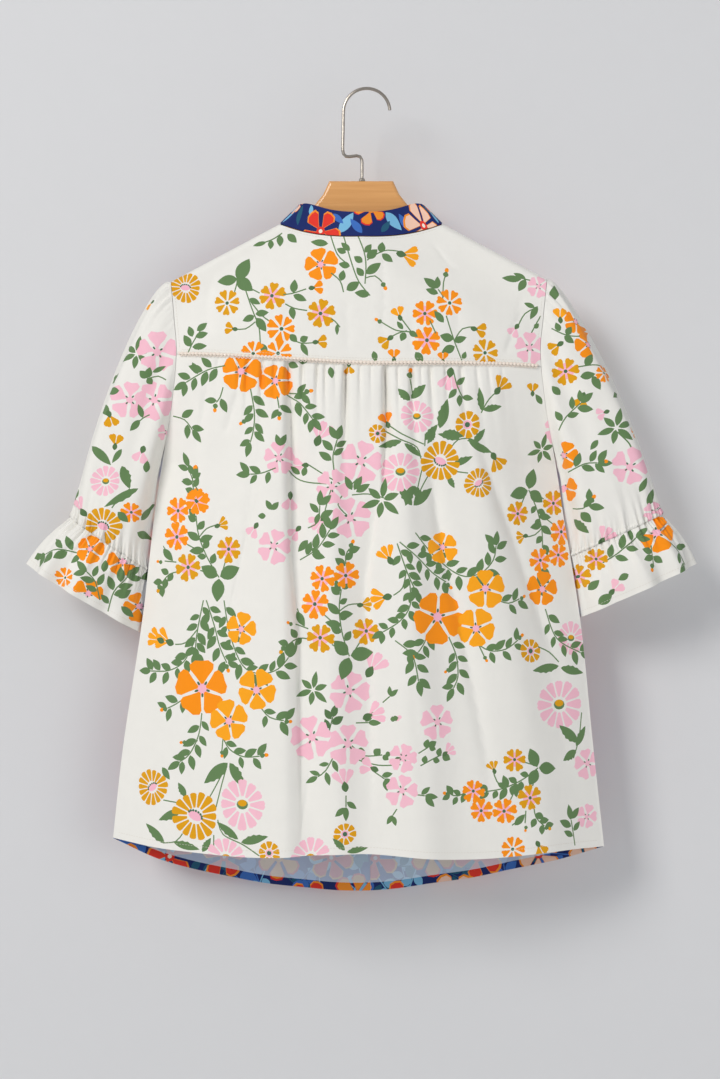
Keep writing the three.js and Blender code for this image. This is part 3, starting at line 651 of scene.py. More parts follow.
def linear(colour, fade=0.0, paper=(239, 237, 230)):
    values = []
    for channel, base in zip(colour, paper):
        c = (channel * (1 - fade) + base * fade) / 255
        values.append(c / 12.92 if c <= 0.04045 else ((c + 0.055) / 1.055) ** 2.4)
    return values + [1.0]


def addPiece(name, mesh, material):
    mesh.polygons.foreach_set("use_smooth", [True] * len(mesh.polygons))
    mesh.materials.append(material)
    piece = bpy.data.objects.new(name, mesh)
    scene.collection.objects.link(piece)
    return piece


def toScene(places):
    moved = np.asarray(places, float) * 0.001
    moved[:, 0] -= body["hookPeakX"] * 0.001
    return [tuple(v) for v in moved]


def surfaceNormals(surface, flat, step=0.4):
    du = surface(flat + [step, 0]) - surface(flat - [step, 0])
    dv = surface(flat + [0, step]) - surface(flat - [0, step])
    normals = np.cross(du, dv)
    return normals / np.maximum(1e-9, np.linalg.norm(normals, axis=1, keepdims=True))


# Cloth with its right and wrong side and a closed rim. wrapAt joins the two ends of a tube, and turnUp picks the
# places whose wrong side is covered by the turned-up hem.
def shell(name, surface, cut, material, thickness=0.7, palette=printColours, wrongSide=0.5, outward=1, wrapAt=None,
          turnUp=None):
    flat, triangles, tints = cut
    used = np.unique(triangles)
    index = np.full(len(flat), -1)
    index[used] = np.arange(len(used))
    flat, triangles = flat[used], index[triangles]
    p, normals = surface(flat), surfaceNormals(surface, flat) * outward
    if outward < 0:
        triangles = triangles[:, ::-1]
    count = len(flat)
    corner = flat[triangles].reshape(-1, 2)
    if wrapAt is not None:
        ends = {round(float(v), 2): i for i, (u, v) in enumerate(flat) if abs(u + wrapAt) < 1e-3}
        meet = np.arange(count)
        for i, (u, v) in enumerate(flat):
            if abs(u - wrapAt) < 1e-3:
                meet[i] = ends[round(float(v), 2)]
        triangles = meet[triangles]
    edges = {(t[k], t[(k + 1) % 3]): True for t in triangles for k in range(3)}
    rim = [(a, b) for a, b in edges if (b, a) not in edges]
    faces = [tuple(t) for t in triangles] + [(t[2] + count, t[1] + count, t[0] + count) for t in triangles]
    faces += [(b, a, a + count, b + count) for a, b in rim]
    mesh = bpy.data.meshes.new(name)
    mesh.from_pydata(toScene(np.concatenate([p + normals * thickness / 2, p - normals * thickness / 2])), [], faces)
    tones = {tint: linear(palette[tint]) for tint in set(tints)}
    pale = {tint: linear(palette[tint], wrongSide, palette.get("wrong", palette["ground"])) for tint in tones}
    folded = np.zeros(len(tints), bool) if turnUp is None else turnUp(corner.reshape(-1, 3, 2).mean(axis=1))
    corners = []
    for t in tints:
        corners += tones[t] * 3
    for t, bright in zip(tints, folded):
        corners += (tones if bright else pale)[t] * 3
    corners += linear(palette["ground"]) * (4 * len(rim))
    mesh.color_attributes.new("printColour", "FLOAT_COLOR", "CORNER").data.foreach_set("color", corners)
    backCorner = corner.reshape(-1, 3, 2)[:, ::-1].reshape(-1, 2)
    rimCorner = np.array([flat[i % count] for a, b in rim for i in (b, a, a, b)]).reshape(-1, 2)
    uvs = np.concatenate([corner, backCorner, rimCorner]) * 0.001
    mesh.uv_layers.new(name="clothMap").data.foreach_set("uv", uvs.ravel())
    piece = addPiece(name, mesh, material)
    mesh.normals_split_custom_set_from_vertices(np.concatenate([normals, -normals]).tolist())
    mesh.update()
    return piece


def gridPoints(low, high, step, dense=()):
    points = []
    v = high[1]
    while v > low[1]:
        spacing = step
        for top, bottom, fine in dense:
            if bottom < v <= top:
                spacing = fine
        us = np.arange(low[0], high[0], spacing[0])
        shift = 0.5 * spacing[0] * (len(points) % 2)
        points.append(np.stack([us + shift, np.full(len(us), v)], axis=1))
        v -= spacing[1]
    return np.concatenate(points) + 1e-3


def feed(socket, value):
    if hasattr(value, "is_output"):
        socket.id_data.links.new(value, socket)
    else:
        socket.default_value = value


def addNode(tree, kind, sockets, **settings):
    node = tree.nodes.new("ShaderNode" + kind)
    for key, value in settings.items():
        setattr(node, key, value)
    for key, value in sockets.items():
        feed(node.inputs[key], value)
    return node


def mixColour(tree, factor, a, b, mode="MIX"):
    node = addNode(tree, "Mix", {}, data_type="RGBA", blend_type=mode)
    for socket in node.inputs:
        value = {"Factor_Float": factor, "A_Color": a, "B_Color": b}.get(socket.identifier)
        if value is not None:
            feed(socket, value)
    return next(s for s in node.outputs if s.identifier == "Result_Color")


def newMaterial(name, roughness, metallic=0.0):
    material = bpy.data.materials.new(name)
    material.use_nodes = True
    shader = material.node_tree.nodes["Principled BSDF"]
    shader.inputs["Roughness"].default_value = roughness
    shader.inputs["Metallic"].default_value = metallic
    return material, material.node_tree, shader


def bump(tree, height, strength, distance, **below):
    sockets = {"Height": height, "Strength": strength, "Distance": distance, **below}
    return addNode(tree, "Bump", sockets).outputs["Normal"]


# Printed cotton: the print's colour with a slight yarn mottle, a fine plain weave and soft small wrinkles.
def clothMaterial(name, facts):
    material, tree, shader = newMaterial(name, facts["roughness"])
    shader.inputs["Sheen Weight"].default_value = facts["sheen"]
    shader.inputs["Specular IOR Level"].default_value = facts["gloss"]
    printed = addNode(tree, "Attribute", {}, attribute_name="printColour").outputs["Color"]
    uv = addNode(tree, "UVMap", {}, uv_map="clothMap").outputs["UV"]
    mottle = addNode(tree, "TexNoise", {"Vector": uv, "Scale": facts["mottleScale"], "Detail": 3}).outputs["Fac"]
    shade = addNode(tree, "MapRange", {
        "Value": mottle, "To Min": 1 - facts["mottle"], "To Max": 1 + facts["mottle"] * 0.4}).outputs["Result"]
    feed(shader.inputs["Base Color"], mixColour(tree, 1.0, printed, shade, "MULTIPLY"))
    wave = {"Vector": uv, "Scale": facts["threadScale"], "Distortion": 0.6}
    warp, weft = [addNode(tree, "TexWave", wave, bands_direction=axis).outputs["Fac"] for axis in "XY"]
    weave = addNode(tree, "Math", {0: warp, 1: weft}, operation="MULTIPLY").outputs["Value"]
    fine = bump(tree, weave, facts["weave"], 0.0002)
    stretched = addNode(tree, "Mapping", {"Vector": uv, "Scale": (1.0, 0.45, 1.0)}).outputs["Vector"]
    crumple = addNode(tree, "TexNoise", {
        "Vector": stretched, "Scale": facts["crumpleScale"], "Detail": 4, "Roughness": 0.55}).outputs["Fac"]
    feed(shader.inputs["Normal"], bump(tree, crumple, facts["crumple"], 0.004, Normal=fine))
    return material


# A finish between two tones that vary with a noise on the object's own place, with or without relief.
def speckled(name, facts):
    material, tree, shader = newMaterial(name, facts["roughness"], facts.get("metallic", 0.0))
    place = addNode(tree, "TexCoord", {}).outputs["Object"]
    if "stretch" in facts:
        place = addNode(tree, "Mapping", {"Vector": place, "Scale": facts["stretch"]}).outputs["Vector"]
    settings = {"Vector": place, "Scale": facts["scale"], **facts.get("noise", {})}
    noise = addNode(tree, "TexNoise", settings).outputs["Fac"]
    feed(shader.inputs["Base Color"], mixColour(tree, noise, facts["light"], facts["dark"]))
    if "relief" in facts:
        feed(shader.inputs["Normal"], bump(tree, noise, *facts["relief"]))
    return material


clothFacts = {
    "cream": {"roughness": 0.82, "sheen": 0.2, "gloss": 0.25, "mottle": 0.03, "mottleScale": 60, "threadScale": 900,
              "weave": 0.35, "crumple": 0.22, "crumpleScale": 34},
    "navy": {"roughness": 0.8, "sheen": 0.15, "gloss": 0.25, "mottle": 0.08, "mottleScale": 90, "threadScale": 900,
             "weave": 0.35, "crumple": 0.2, "crumpleScale": 30},
}
creamCloth = clothMaterial("creamCloth", clothFacts["cream"])
navyCloth = clothMaterial("navyCloth", clothFacts["navy"])
navyColours = {
    "ground": (20, 40, 104),
    "sky": (124, 188, 224),
    "red": (232, 56, 42),
    "orange": (250, 150, 44),
    "peach": (250, 206, 182),
    "deep": (34, 92, 120),
    "blue": (60, 110, 190),
    "cream": (246, 236, 220),
    "wrong": (228, 240, 255),
}


# Back body
backFacts = {
    "foldShare": 0.85, "puff": 4.2, "puffReach": 130, "gatherEdge": 0.84, "gatherAhead": 45, "creaseAhead": 55,
    "wander": 0.5, "creaseStep": 4.0, "printAhead": 50}


def backRelief(x, z):
    below = yokeZ(x) - z
    across = np.clip(np.abs(x) / np.abs(edgeX(x, z)), 0, 1)
    gathered = smooth((backFacts["gatherEdge"] - across) * 8) * smooth((below + 2) / 8)
    under = np.maximum(below, 0)
    puff = backFacts["puff"] * smooth((below - 2) / 24) * np.exp(-under / backFacts["puffReach"]) * gathered
    troughs = gatherDepths(x, z, under, gathers, backFacts["gatherAhead"]) * smooth((below + 4) / 5)
    out = backFoldsOnly(x, z) + puff - troughs - creaseDepth(backCreases, x, z, backFacts["creaseAhead"])
    wander = backFacts["wander"] * np.sin(x / 17 + z / 60) * np.sin(z / 45 - x / 80) * smooth(below / 60)
    return (out + wander) * (1 - across ** 10)


def backFoldsOnly(x, z):
    return backFacts["foldShare"] * foldHeight(backFolds, x, z)


backPanel = Panel(-1, backRelief, -280, -812, smoothRelief=backFoldsOnly)


def flatLoop(panel, *sides):
    loop = np.concatenate([np.asarray(side, float)[:-1] for side in sides])
    return np.stack(panel.toFlat(loop[:, 0], loop[:, 1]), axis=1)


bendShift = body["ridgeBend"] - bendArc
halfGap = body["seamGap"] / 2


def sideLine(side, topZ, lowZ, step=6.0):
    zs = np.linspace(topZ, lowZ, int(abs(topZ - lowZ) / step) + 2)
    return np.stack([edgeX(side, zs), zs + bendShift], axis=1)


def crossLine(heights, leftX, rightX, step=5.0):
    xs = np.linspace(leftX, rightX, int(abs(rightX - leftX) / step) + 2)
    return np.stack([xs, heights(xs)], axis=1)


sideHem, sideSeam = {-1: -785.0, 1: -794.0}, {-1: -279.0, 1: -292.0}  # heights at the left and right side seams
bodyTop = crossLine(lambda x: yokeZ(x) - halfGap + bendShift, edgeX(-1, sideSeam[-1]), edgeX(1, sideSeam[1]), 1.6)
bodyRight = sideLine(1, bodyTop[-1, 1] - bendShift, sideHem[1])
bodyLow = crossLine(lambda x: hemZ(-1, x) + bendShift, edgeX(1, sideHem[1]), edgeX(-1, sideHem[-1]), 3.0)
bodyLeft = sideLine(-1, sideHem[-1], bodyTop[0, 1] - bendShift)
bodyOutline = flatLoop(backPanel, bodyTop, bodyRight, bodyLow, bodyLeft)[::-1]

printPlan = [
    ("daisies", 210, 810, 0, 1), ("daisies", 427, 467, 180, 0.82), ("blush", 335, 715, 0, 1),
    ("meadow", 420, 755, 0, 1),
    ("posy", 195, 540, 0, 1), ("posy", 336, 613, -15, 1), ("posy", 507, 791, 90, 0.88), ("posy", 547, 526, 172, 0.9),
    ("sunny", 229, 700, 0, 1), ("sunny", 466, 611, 30, 0.95),
]
backLoose = [
    ("stem", (358, 478, 345, 492, 338, 505, 350, 518), (306, 463, 320, 472, 340, 484),
        (352, 495, 368, 494, 384, 498), (332, 487, 328, 500, 325, 512), (279, 460, 300, 480, 330, 484)),
    ("blush", (361, 461, 21, "pink", 0), (350, 518, 20, "pink", 30), (332, 487, 17, "pink", 60)),
    ("cup", (318, 440, 19, "pink", 70)), ("blush", (279, 458, 16, "pink", 20), (274, 546, 17, "pink", 0)),
    ("cup", (290, 496, 14, "pink", 265), (305, 465, 12, "pink", 180), (298, 529, 12, "pink", 225),
        (324, 518, 16, "pink", 220)),
    ("star", (382, 500, 20)), ("cup", (256, 526, 12, "pink", 235)),
    ("spray", (334, 470, 333, 456, 337, 440), (308, 528, 318, 522, 320, 506)),
    ("leaf", (352, 490, 345, 476, 7), (354, 490, 362, 476, 7), (356, 492, 370, 484, 7)),
    ("spray", (276, 468, 262, 473, 250, 474)),
    ("leaf", (300, 474, 290, 466, 6), (303, 476, 306, 466, 6), (308, 540, 298, 552, 7), (312, 548, 322, 558, 7),
        (280, 446, 276, 434, 6), (280, 446, 286, 434, 6), (272, 510, 266, 500, 6), (272, 510, 279, 502, 6),
        (266, 516, 258, 516, 6)),
    ("rose", (417, 416, 16, "pink", 0)), ("fleck", (468, 424, 13, "mustard", 0)),
    ("stem", (482, 412, 490, 398, 501, 388)), ("cup", (499, 389, 15, "mustard", 55)),
    ("toothed", (483, 410, 480, 386, 8), (484, 409, 503, 405, 8)), ("stem", (468, 440, 484, 445, 494, 454)),
    ("cup", (495, 456, 15, "mustard", -55)),
    ("toothed", (474, 443, 486, 428, 8), (472, 444, 491, 452, 8), (410, 400, 398, 388, 9),
        (411, 398, 426, 384, 10), (440, 428, 448, 398, 12), (443, 432, 464, 436, 10), (425, 440, 438, 424, 9),
        (412, 486, 405, 506, 10), (412, 486, 424, 502, 10)),
    ("stem", (388, 424, 402, 434, 424, 444)), ("cup", (388, 424, 12, "orange", 110), (451, 372, 17, "pink", -100)),
    ("stem", (454, 370, 458, 386, 464, 398)),
    ("leaf", (457, 388, 449, 398, 6), (457, 384, 466, 376, 6), (463, 396, 474, 398, 6), (460, 394, 460, 406, 6)),
    ("bud", (410, 374, 6, "orange", 80)), ("stem", (410, 378, 413, 394)),
    ("cup", (349, 364, 9, "mustard", -90), (535, 391, 10, "mustard", 90)),
    ("leaf", (330, 366, 332, 378, 6), (545, 402, 538, 392, 6)),
    ("broad", (240, 370, 20, "orange", 10), (275, 380, 17, "orange", 40)), ("spray", (224, 364, 206, 368, 184, 380)),
    ("bareSpray", (222, 386, 219, 396, 215, 401)), ("bud", (214, 405, 5, "orange", -100)),
    ("leaf", (196, 372, 190, 360, 7)), ("spray", (250, 388, 254, 412, 253, 430, 250, 442)),
    ("stem", (253, 414, 246, 418)), ("bud", (243, 421, 4.5, "orange", 210)),
    ("bareSpray", (288, 392, 296, 393, 303, 392)), ("bud", (307, 391, 5, "orange", 10)),
    ("spray", (286, 394, 300, 403, 312, 418)), ("bareSpray", (277, 396, 279, 408)),
    ("bud", (279, 414, 5, "orange", -90)), ("spray", (170, 414, 182, 418, 190, 428)),
    ("leaf", (288, 362, 298, 366, 7), (298, 360, 308, 360, 6)),
    ("rose", (562, 707, 25, "pink", 0), (575, 640, 16, "pink", 0)), ("stem", (586, 716, 583, 742, 577, 762)),
    ("toothed", (582, 746, 562, 728, 12), (580, 754, 566, 764, 10), (580, 750, 590, 730, 9)),
    ("fleck", (532, 652, 12, "mustard", 0)), ("stem", (540, 648, 552, 654, 562, 664)),
    ("toothed", (562, 668, 534, 672, 10), (564, 670, 588, 676, 10)), ("fleck", (345, 832, 11, "mustard", 0)),
    ("toothed", (345, 848, 333, 836, 7), (347, 850, 368, 846, 7)),
    ("rose", (226, 858, 20, "pink", 0), (311, 856, 20, "pink", 0)), ("blush", (403, 756, 14, "pink", 0)),
    ("cup", (374, 768, 14, "pink", 160)), ("blush", (592, 768, 15, "pink", 30), (591, 822, 12, "pink", 0)),
    ("spray", (578, 850, 576, 836, 574, 824)), ("blush", (565, 425, 18, "pink", 10)), ("star", (545, 448, 15)),
    ("cup", (390, 560, 15, "amber", 120)), ("spray", (300, 560, 318, 548, 330, 530), (395, 640, 412, 655, 418, 680)),
    ("broad", (545, 590, 17, "orange", 10)), ("spray", (548, 610, 560, 640, 585, 655)),
    ("broad", (600, 585, 14, "amber", 0)), ("cup", (539, 846, 12, "mustard", -60)),
    ("plain", (513, 850, 12, "orange", 0), (194, 500, 12, "orange", 0)), ("spray", (196, 490, 190, 478, 186, 466)),
    ("bud", (194, 470, 5, "orange", 90)), ("cup", (157, 642, 15, "amber", 160)), ("leaf", (160, 770, 168, 782, 7)),
]


# Where a place of the picture lies on the flat back, with the garment that far ahead of the hook.
def onBack(px, py):
    return backPanel.fromPhoto(px, py, backFacts["printAhead"])


backPrint = []
for name, px, py, turn, scale in printPlan:
    backPrint += clusterShapes(name, onBack(px, py), turn, scale)
backPrint += printShapes(backLoose, onBack)
bodyGrid = gridPoints(
    bodyOutline.min(axis=0), bodyOutline.max(axis=0), (5.0, 6.0),
    [(-280, -330, (1.3, 3.6)), (-330, -400, (2.2, 5.0)), (-400, -600, (3.2, 6.0))])
creasePoints, creaseOffs = [], (-7, -4.5, -3, -1.8, -0.8, 0.4, 2, 4, 7)
for path, depth, left, right in backCreases:
    if min(left, right) > 3:
        continue
    for start, end in zip(path[:-1], path[1:]):
        (ax, ay), (bx, by) = onBack(*start), onBack(*end)
        for part in np.arange(0, 1, backFacts["creaseStep"] / math.hypot(bx - ax, by - ay)):
            creasePoints += [(ax + (bx - ax) * part + off, ay + (by - ay) * part) for off in creaseOffs]
bodyGrid = np.concatenate([bodyGrid, creasePoints])
backBody = shell("backBody", backPanel.surface, cutCloth(bodyOutline, backPrint, bodyGrid), creamCloth)
print("back body", len(backBody.data.polygons))


# Back yoke
yokeFacts = {"wave": 0.8, "photoAhead": 38}


def yokeRelief(x, z):
    across = np.clip(np.abs(x) / np.abs(edgeX(x, z)), 0, 1)
    down = smooth((-170 - z) / 60)
    wave = yokeFacts["wave"] * np.sin(x / 21 + 1.3) * np.sin(z / 38) * down
    return (wave - creaseDepth(yokeCreases, x, z, yokeFacts["photoAhead"])) * (1 - across ** 8)


yokePanel = Panel(-1, yokeRelief, -92, -300, (-210, 206))


def neckTop(x):
    topRun = np.where(np.abs(x) > body["neckHalf"] - 0.1, -body["seamAhead"], runTo(x, neckBackZ(x)))
    return ridgeZ(x) - topRun


yokeXs = np.concatenate([
    np.linspace(-199, -86, 24), np.linspace(-85.8, 85.8, 44), np.linspace(86, 194, 24)])
yokeTop = np.stack([yokeXs, neckTop(yokeXs)], axis=1)
yokeLowLine = crossLine(lambda x: yokeZ(x) + halfGap + bendShift, edgeX(1, sideSeam[1]), edgeX(-1, sideSeam[-1]), 3.0)
yokeRight = sideLine(1, float(yokeTop[-1, 1]) - bendShift, float(yokeLowLine[0, 1]) - bendShift)
yokeLeft = sideLine(-1, float(yokeLowLine[-1, 1]) - bendShift, float(yokeTop[0, 1]) - bendShift)
yokeOutline = flatLoop(yokePanel, yokeTop, yokeRight, yokeLowLine, yokeLeft)[::-1]
yokeLoose = [
    ("leaf", (235.7, 277, 248, 255, 14), (236, 276, 215.5, 278.5, 11), (235, 275, 252, 289, 13)),
    ("stem", (236, 279, 232.5, 293), (244, 286, 252, 309, 258.5, 326, 260, 342), (251, 287, 259, 291.5),
        (250, 300, 262, 315, 275, 324)),
    ("leaf", (248.5, 297, 260, 303, 6), (254, 315, 242, 320, 7), (255, 313, 268.5, 311.5, 7),
        (256, 317, 266, 331, 9)),
    ("stem", (255, 321, 245, 328, 234, 328)), ("cup", (234, 328, 10, "mustard", 170)),
    ("plain", (226, 301, 13, "mustard", 10)), ("tiny", (271.5, 294.6, 13.5, "mustard", 20)),
    ("plain", (281.3, 328.3, 14, "orange", 0)), ("tiny", (320.4, 313, 14, "mustard", 15)),
    ("broad", (320.4, 263, 17, "orange", 30)), ("stem", (283, 293.5, 292, 292.5, 306, 288)),
    ("leaf", (293, 292, 294.5, 278, 8), (293, 294, 306.5, 300, 7)), ("cup", (312, 287, 11, "orange", 5)),
    ("stem", (285, 303, 294, 307.6, 307, 310)), ("leaf", (291, 306, 293.5, 319, 7)),
    ("stem", (331, 318.5, 335, 321, 340, 327)), ("leaf", (337, 324, 337, 335, 4), (290, 334, 297, 342, 7)),
    ("stem", (292, 339, 301, 343, 315, 342.5)), ("leaf", (300, 341, 308, 336.5, 7), (301, 343, 308, 356, 6)),
    ("cup", (316, 342, 11, "mustard", 5)), ("stem", (260, 342, 263, 352)), ("leaf", (261.5, 343, 266.5, 355, 7)),
    ("plain", (253, 353, 13, "orange", 0), (278, 353, 13, "orange", 30)), ("stem", (186.5, 352, 191, 342, 203, 323)),
    ("leaf", (191, 335, 187, 324, 7), (195.5, 329, 206, 321, 7), (194, 335, 207, 331.5, 7),
        (189.5, 345, 182, 333, 8), (191, 345.5, 206, 344.5, 7)),
    ("stem", (253, 241, 270, 236, 281, 229)),
    ("leaf", (270, 236, 269.3, 245.5, 6), (279, 231, 279, 243, 7), (286.5, 230, 296, 239, 8),
        (265, 238, 251.5, 242, 4.5)),
    ("gold", (183, 284, 15, "mustard", 20)), ("stem", (329, 228, 337, 252, 346.5, 262)),
    ("leaf", (328, 241, 310, 238.5, 7.5), (346, 251, 336.5, 246.5, 6.5), (350, 265, 338.5, 262.5, 7)),
    ("stem", (331, 272, 340, 280, 343.5, 291.5)), ("leaf", (341, 280, 343.5, 269, 7), (346.5, 289.5, 359.5, 281, 9)),
    ("stem", (342, 228, 352, 263, 359, 281, 370, 295), (356, 228, 364, 250, 366, 265, 365, 283)),
    ("leaf", (365, 251, 371.5, 242, 6.5), (367, 257, 377.5, 247.5, 9), (366, 273, 381, 261.5, 9),
        (362.5, 261, 354, 255, 7), (363.5, 275, 356.5, 266.5, 7), (370, 294, 354.5, 292, 8), (350, 249, 341, 240, 6)),
    ("stem", (367, 259, 379, 251, 388, 248, 399, 249)),
    ("leaf", (381, 251, 382.5, 239.5, 8), (382, 252, 393, 260.5, 7.5)), ("cup", (402, 252, 17, "amber", -10)),
    ("stem", (366, 277, 375, 275, 382, 281)),
    ("bud", (383.5, 284, 5, "orange", -60), (446.5, 272, 5.5, "orange", 75)),
    ("stem", (443, 298, 444, 281, 446, 274)),
    ("leaf", (438.5, 287, 424, 276.5, 8.5), (438, 287, 438, 274.5, 6.5), (438.5, 292.5, 426, 288, 6.5)),
    ("stem", (444, 296, 438.5, 288)), ("plain", (450, 302, 13, "orange", 10)),
    ("tiny", (425, 313, 12.5, "orange", 0), (427, 340, 14, "orange", 25)), ("stem", (446.5, 315, 454, 339, 462, 360)),
    ("leaf", (453.5, 339, 440, 335, 9), (454, 341, 467, 336.5, 7), (455, 346, 441.5, 352.5, 8.5),
        (444, 322, 434.5, 310, 7)),
    ("stem", (430, 320, 436, 333), (455, 339, 463, 328, 474, 326)), ("cup", (475, 328, 12, "mustard", -10)),
    ("plain", (485.5, 352, 13, "mustard", 0)), ("bud", (379.5, 321, 4.5, "orange", 150)),
    ("cup", (400, 317, 11, "amber", 110), (390, 338, 12, "mustard", 215)),
    ("stem", (382, 322, 396, 330, 409, 331.5, 417, 335), (402, 319, 411, 331), (391, 337, 398, 333, 407, 330.5)),
    ("leaf", (403, 329, 397, 321, 5), (405, 332, 401, 341, 7), (409, 331, 418, 336.5, 6), (373.5, 351, 376, 362, 6)),
    ("cup", (394, 359, 10, "orange", 90)), ("leaf", (415.5, 352, 423, 363, 8)), ("cup", (443, 361, 9, "orange", 90)),
    ("leaf", (463, 359, 466, 351, 5), (523.5, 276, 503.5, 274.5, 7), (528, 275, 515.5, 269.5, 5),
        (528, 276, 520.5, 288, 8)),
    ("stem", (526, 275.5, 534, 277)), ("blush", (541, 283, 11, "pink", 0)), ("cup", (518, 325, 11, "pink", 235)),
    ("stem", (520, 323, 527, 311, 540, 304)), ("leaf", (537, 304.5, 526, 300, 5), (540, 303, 532, 317, 6.5)),
    ("stem", (533, 331, 543, 313)), ("leaf", (536, 326, 541, 321, 5)), ("blush", (531, 346, 16, "pink", 15)),
]
yokePrint = printShapes(yokeLoose, lambda px, py: yokePanel.fromPhoto(px, py, yokeFacts["photoAhead"]))
yokeGrid = gridPoints(yokeOutline.min(axis=0), yokeOutline.max(axis=0), (5.0, 6.0), [(-60, -200, (4.5, 3.0))])
backYoke = shell("backYoke", yokePanel.surface, cutCloth(yokeOutline, yokePrint, yokeGrid), creamCloth)
print("yoke", len(backYoke.data.polygons))


# Fronts
frontFacts = {
    "pitch": 58, "size": 1.18, "seed": 5, "wrongSide": 0.8, "hemTurn": 8.5, "grid": (7.0, 7.0), "wander": 0.8,
    "creaseAhead": -30}
frontCreases = [
    ([(250, 430), (246, 560), (238, 700)], 3.0, 8, 8), ([(300, 480), (297, 620), (290, 780)], 3.2, 7, 9),
    ([(352, 420), (350, 560), (346, 700)], 2.0, 6, 7), ([(416, 470), (424, 620), (432, 790)], 3.2, 8, 7),
    ([(470, 430), (480, 560), (496, 700)], 3.0, 8, 8), ([(520, 520), (534, 640), (548, 760)], 2.2, 7, 9),
]


def frontRelief(x, z):
    across = np.clip(np.abs(x) / np.abs(edgeX(x, z)), 0, 1)
    wander = frontFacts["wander"] * np.sin(x / 23 + z / 75) * np.sin(z / 52) * smooth((-260 - z) / 60)
    creased = wander - creaseDepth(frontCreases, x, z, frontFacts["creaseAhead"])
    return foldHeight(frontFolds, x, z) + creased * (1 - across ** 8)


frontPane = Panel(1, frontRelief, -92, -858)


def centreSeamX(z):
    return 10 * (body["ridgeApex"] - z) / (body["ridgeApex"] + 848)


def slitEdge(side, z):
    opened = smooth((z - body["slitBottomZ"]) / (body["frontNeckZ"] - body["slitBottomZ"]))
    return centreSeamX(z) + side * (body["slitHalf"] * opened + halfGap)


def frontOutline(side):
    neckInner = body["slitHalf"] + halfGap
    tip = abs(float(edgeX(side, -202.0)))
    xs = np.concatenate([np.linspace(neckInner, 85.8, 30), np.linspace(86, tip, 24)])
    topRun = np.where(xs > body["neckHalf"] - 0.1, body["seamAhead"] + 0.45, runTo(xs, neckFrontZ(xs)))
    top = np.stack([side * xs, ridgeZ(xs) - topRun], axis=1)
    innerTop = float(drape(1, side * xs[:1], topRun[:1])[0, 2])
    zs = np.linspace(innerTop, float(hemZ(1, np.array(side * 8.0))), 100)
    inner = np.stack([slitEdge(side, zs), zs + bendShift], axis=1)
    inner[0] = top[0]
    sideX = edgeX(side, sideHem[side])
    low = crossLine(lambda x: hemZ(1, x) + bendShift, slitEdge(side, zs[-1]), sideX, 4.0)
    outer = sideLine(side, float(low[-1, 1]) - bendShift, float(top[-1, 1]) - bendShift)
    flat = flatLoop(frontPane, inner, low, outer, top[::-1])
    area = np.sum(flat[:, 0] * np.roll(flat[:, 1], -1) - flat[:, 1] * np.roll(flat[:, 0], -1))
    return flat if area > 0 else flat[::-1]


# The blue print is a plain one of its own: large loose blooms with outlined petals among leaf sprigs.
bloomProfile = [(0.14, 10), (0.45, 22), (0.8, 25), (0.97, 14), (1.0, 0)]
bloomPairs = [("peach", "orange"), ("peach", "orange"), ("orange", "red"), ("red", "orange"), ("red", "orange")]


def bloom(x, y, radius, fill, edge, turn, chance):
    shapes = []
    petals = chance.choice([5, 6, 6])
    for i in range(petals):
        reach = radius * chance.uniform(0.88, 1.08)
        angle = turn + i * 360 / petals
        for share, tint, lift in ((1.0, edge, 0), (0.86, fill, radius * 0.05)):
            petal = petalShape(reach * share, angle, bloomProfile)
            c, s = math.cos(math.radians(angle)), math.sin(math.radians(angle))
            shapes.append(([(px + x + c * lift, py + y + s * lift) for px, py in petal], tint))
    shapes.append((roundShape(x, y, radius * 0.2, 10), "red" if edge != "red" else "orange"))
    shapes.append((roundShape(x, y, radius * 0.09, 7), "cream"))
    return shapes


# Blooms in staggered rows, each with four sprigs behind it.
def bluePrint(low, high, pitch, seed, size):
    chance = random.Random(seed)
    leaves, blooms = [], []
    row = 0
    v = low[1] - 10
    while v < high[1] + 20:
        u = low[0] - 20 + (pitch / 2 if row % 2 else 0)
        while u < high[0] + 20:
            x, y = u + chance.uniform(-7, 7), v + chance.uniform(-6, 6)
            fill, edge = chance.choice(bloomPairs)
            turn = chance.uniform(0, 360)
            for k, tint in enumerate(("sky", "deep", "sky", "blue")):
                heading = turn + 90 * k + chance.uniform(-18, 18)
                path = [pointAt((x, y), 17 * size, heading), pointAt((x, y), 34 * size, heading + 14)]
                leaves += spray(path, 15 * size, 13 * size, 8.5 * size, 4, colour=tint)
            blooms += bloom(x, y, chance.uniform(19, 23) * size, fill, edge, turn, chance)
            u += pitch
        v += pitch * 0.82
        row += 1
    return leaves + blooms


frontPieces = []
for side, name in ((-1, "frontLeft"), (1, "frontRight")):
    outline = frontOutline(side)
    low, high = outline.min(axis=0), outline.max(axis=0)
    hemXs = np.linspace(outline[:, 0].min(), outline[:, 0].max(), 90)
    hemPlaces = frontPane.across(hemXs, np.full(90, -815.0))
    hemLine = hemZ(1, hemPlaces) + bendShift + frontFacts["hemTurn"]
    strip = list(zip(hemXs, hemLine)) + list(zip(hemXs[::-1], hemLine[::-1] - 30))
    bluePlan = [(strip, "ground")] + bluePrint(
        low, high, frontFacts["pitch"], frontFacts["seed"] + side, frontFacts["size"])

    def turnUp(middles, hemXs=hemXs, hemLine=hemLine):
        return middles[:, 1] < np.interp(middles[:, 0], hemXs, hemLine)

    cut = cutCloth(outline, bluePlan, gridPoints(low, high, frontFacts["grid"]))
    frontPieces.append(shell(
        name, frontPane.surface, cut, navyCloth, palette=navyColours, wrongSide=frontFacts["wrongSide"],
        outward=-1, turnUp=turnUp))
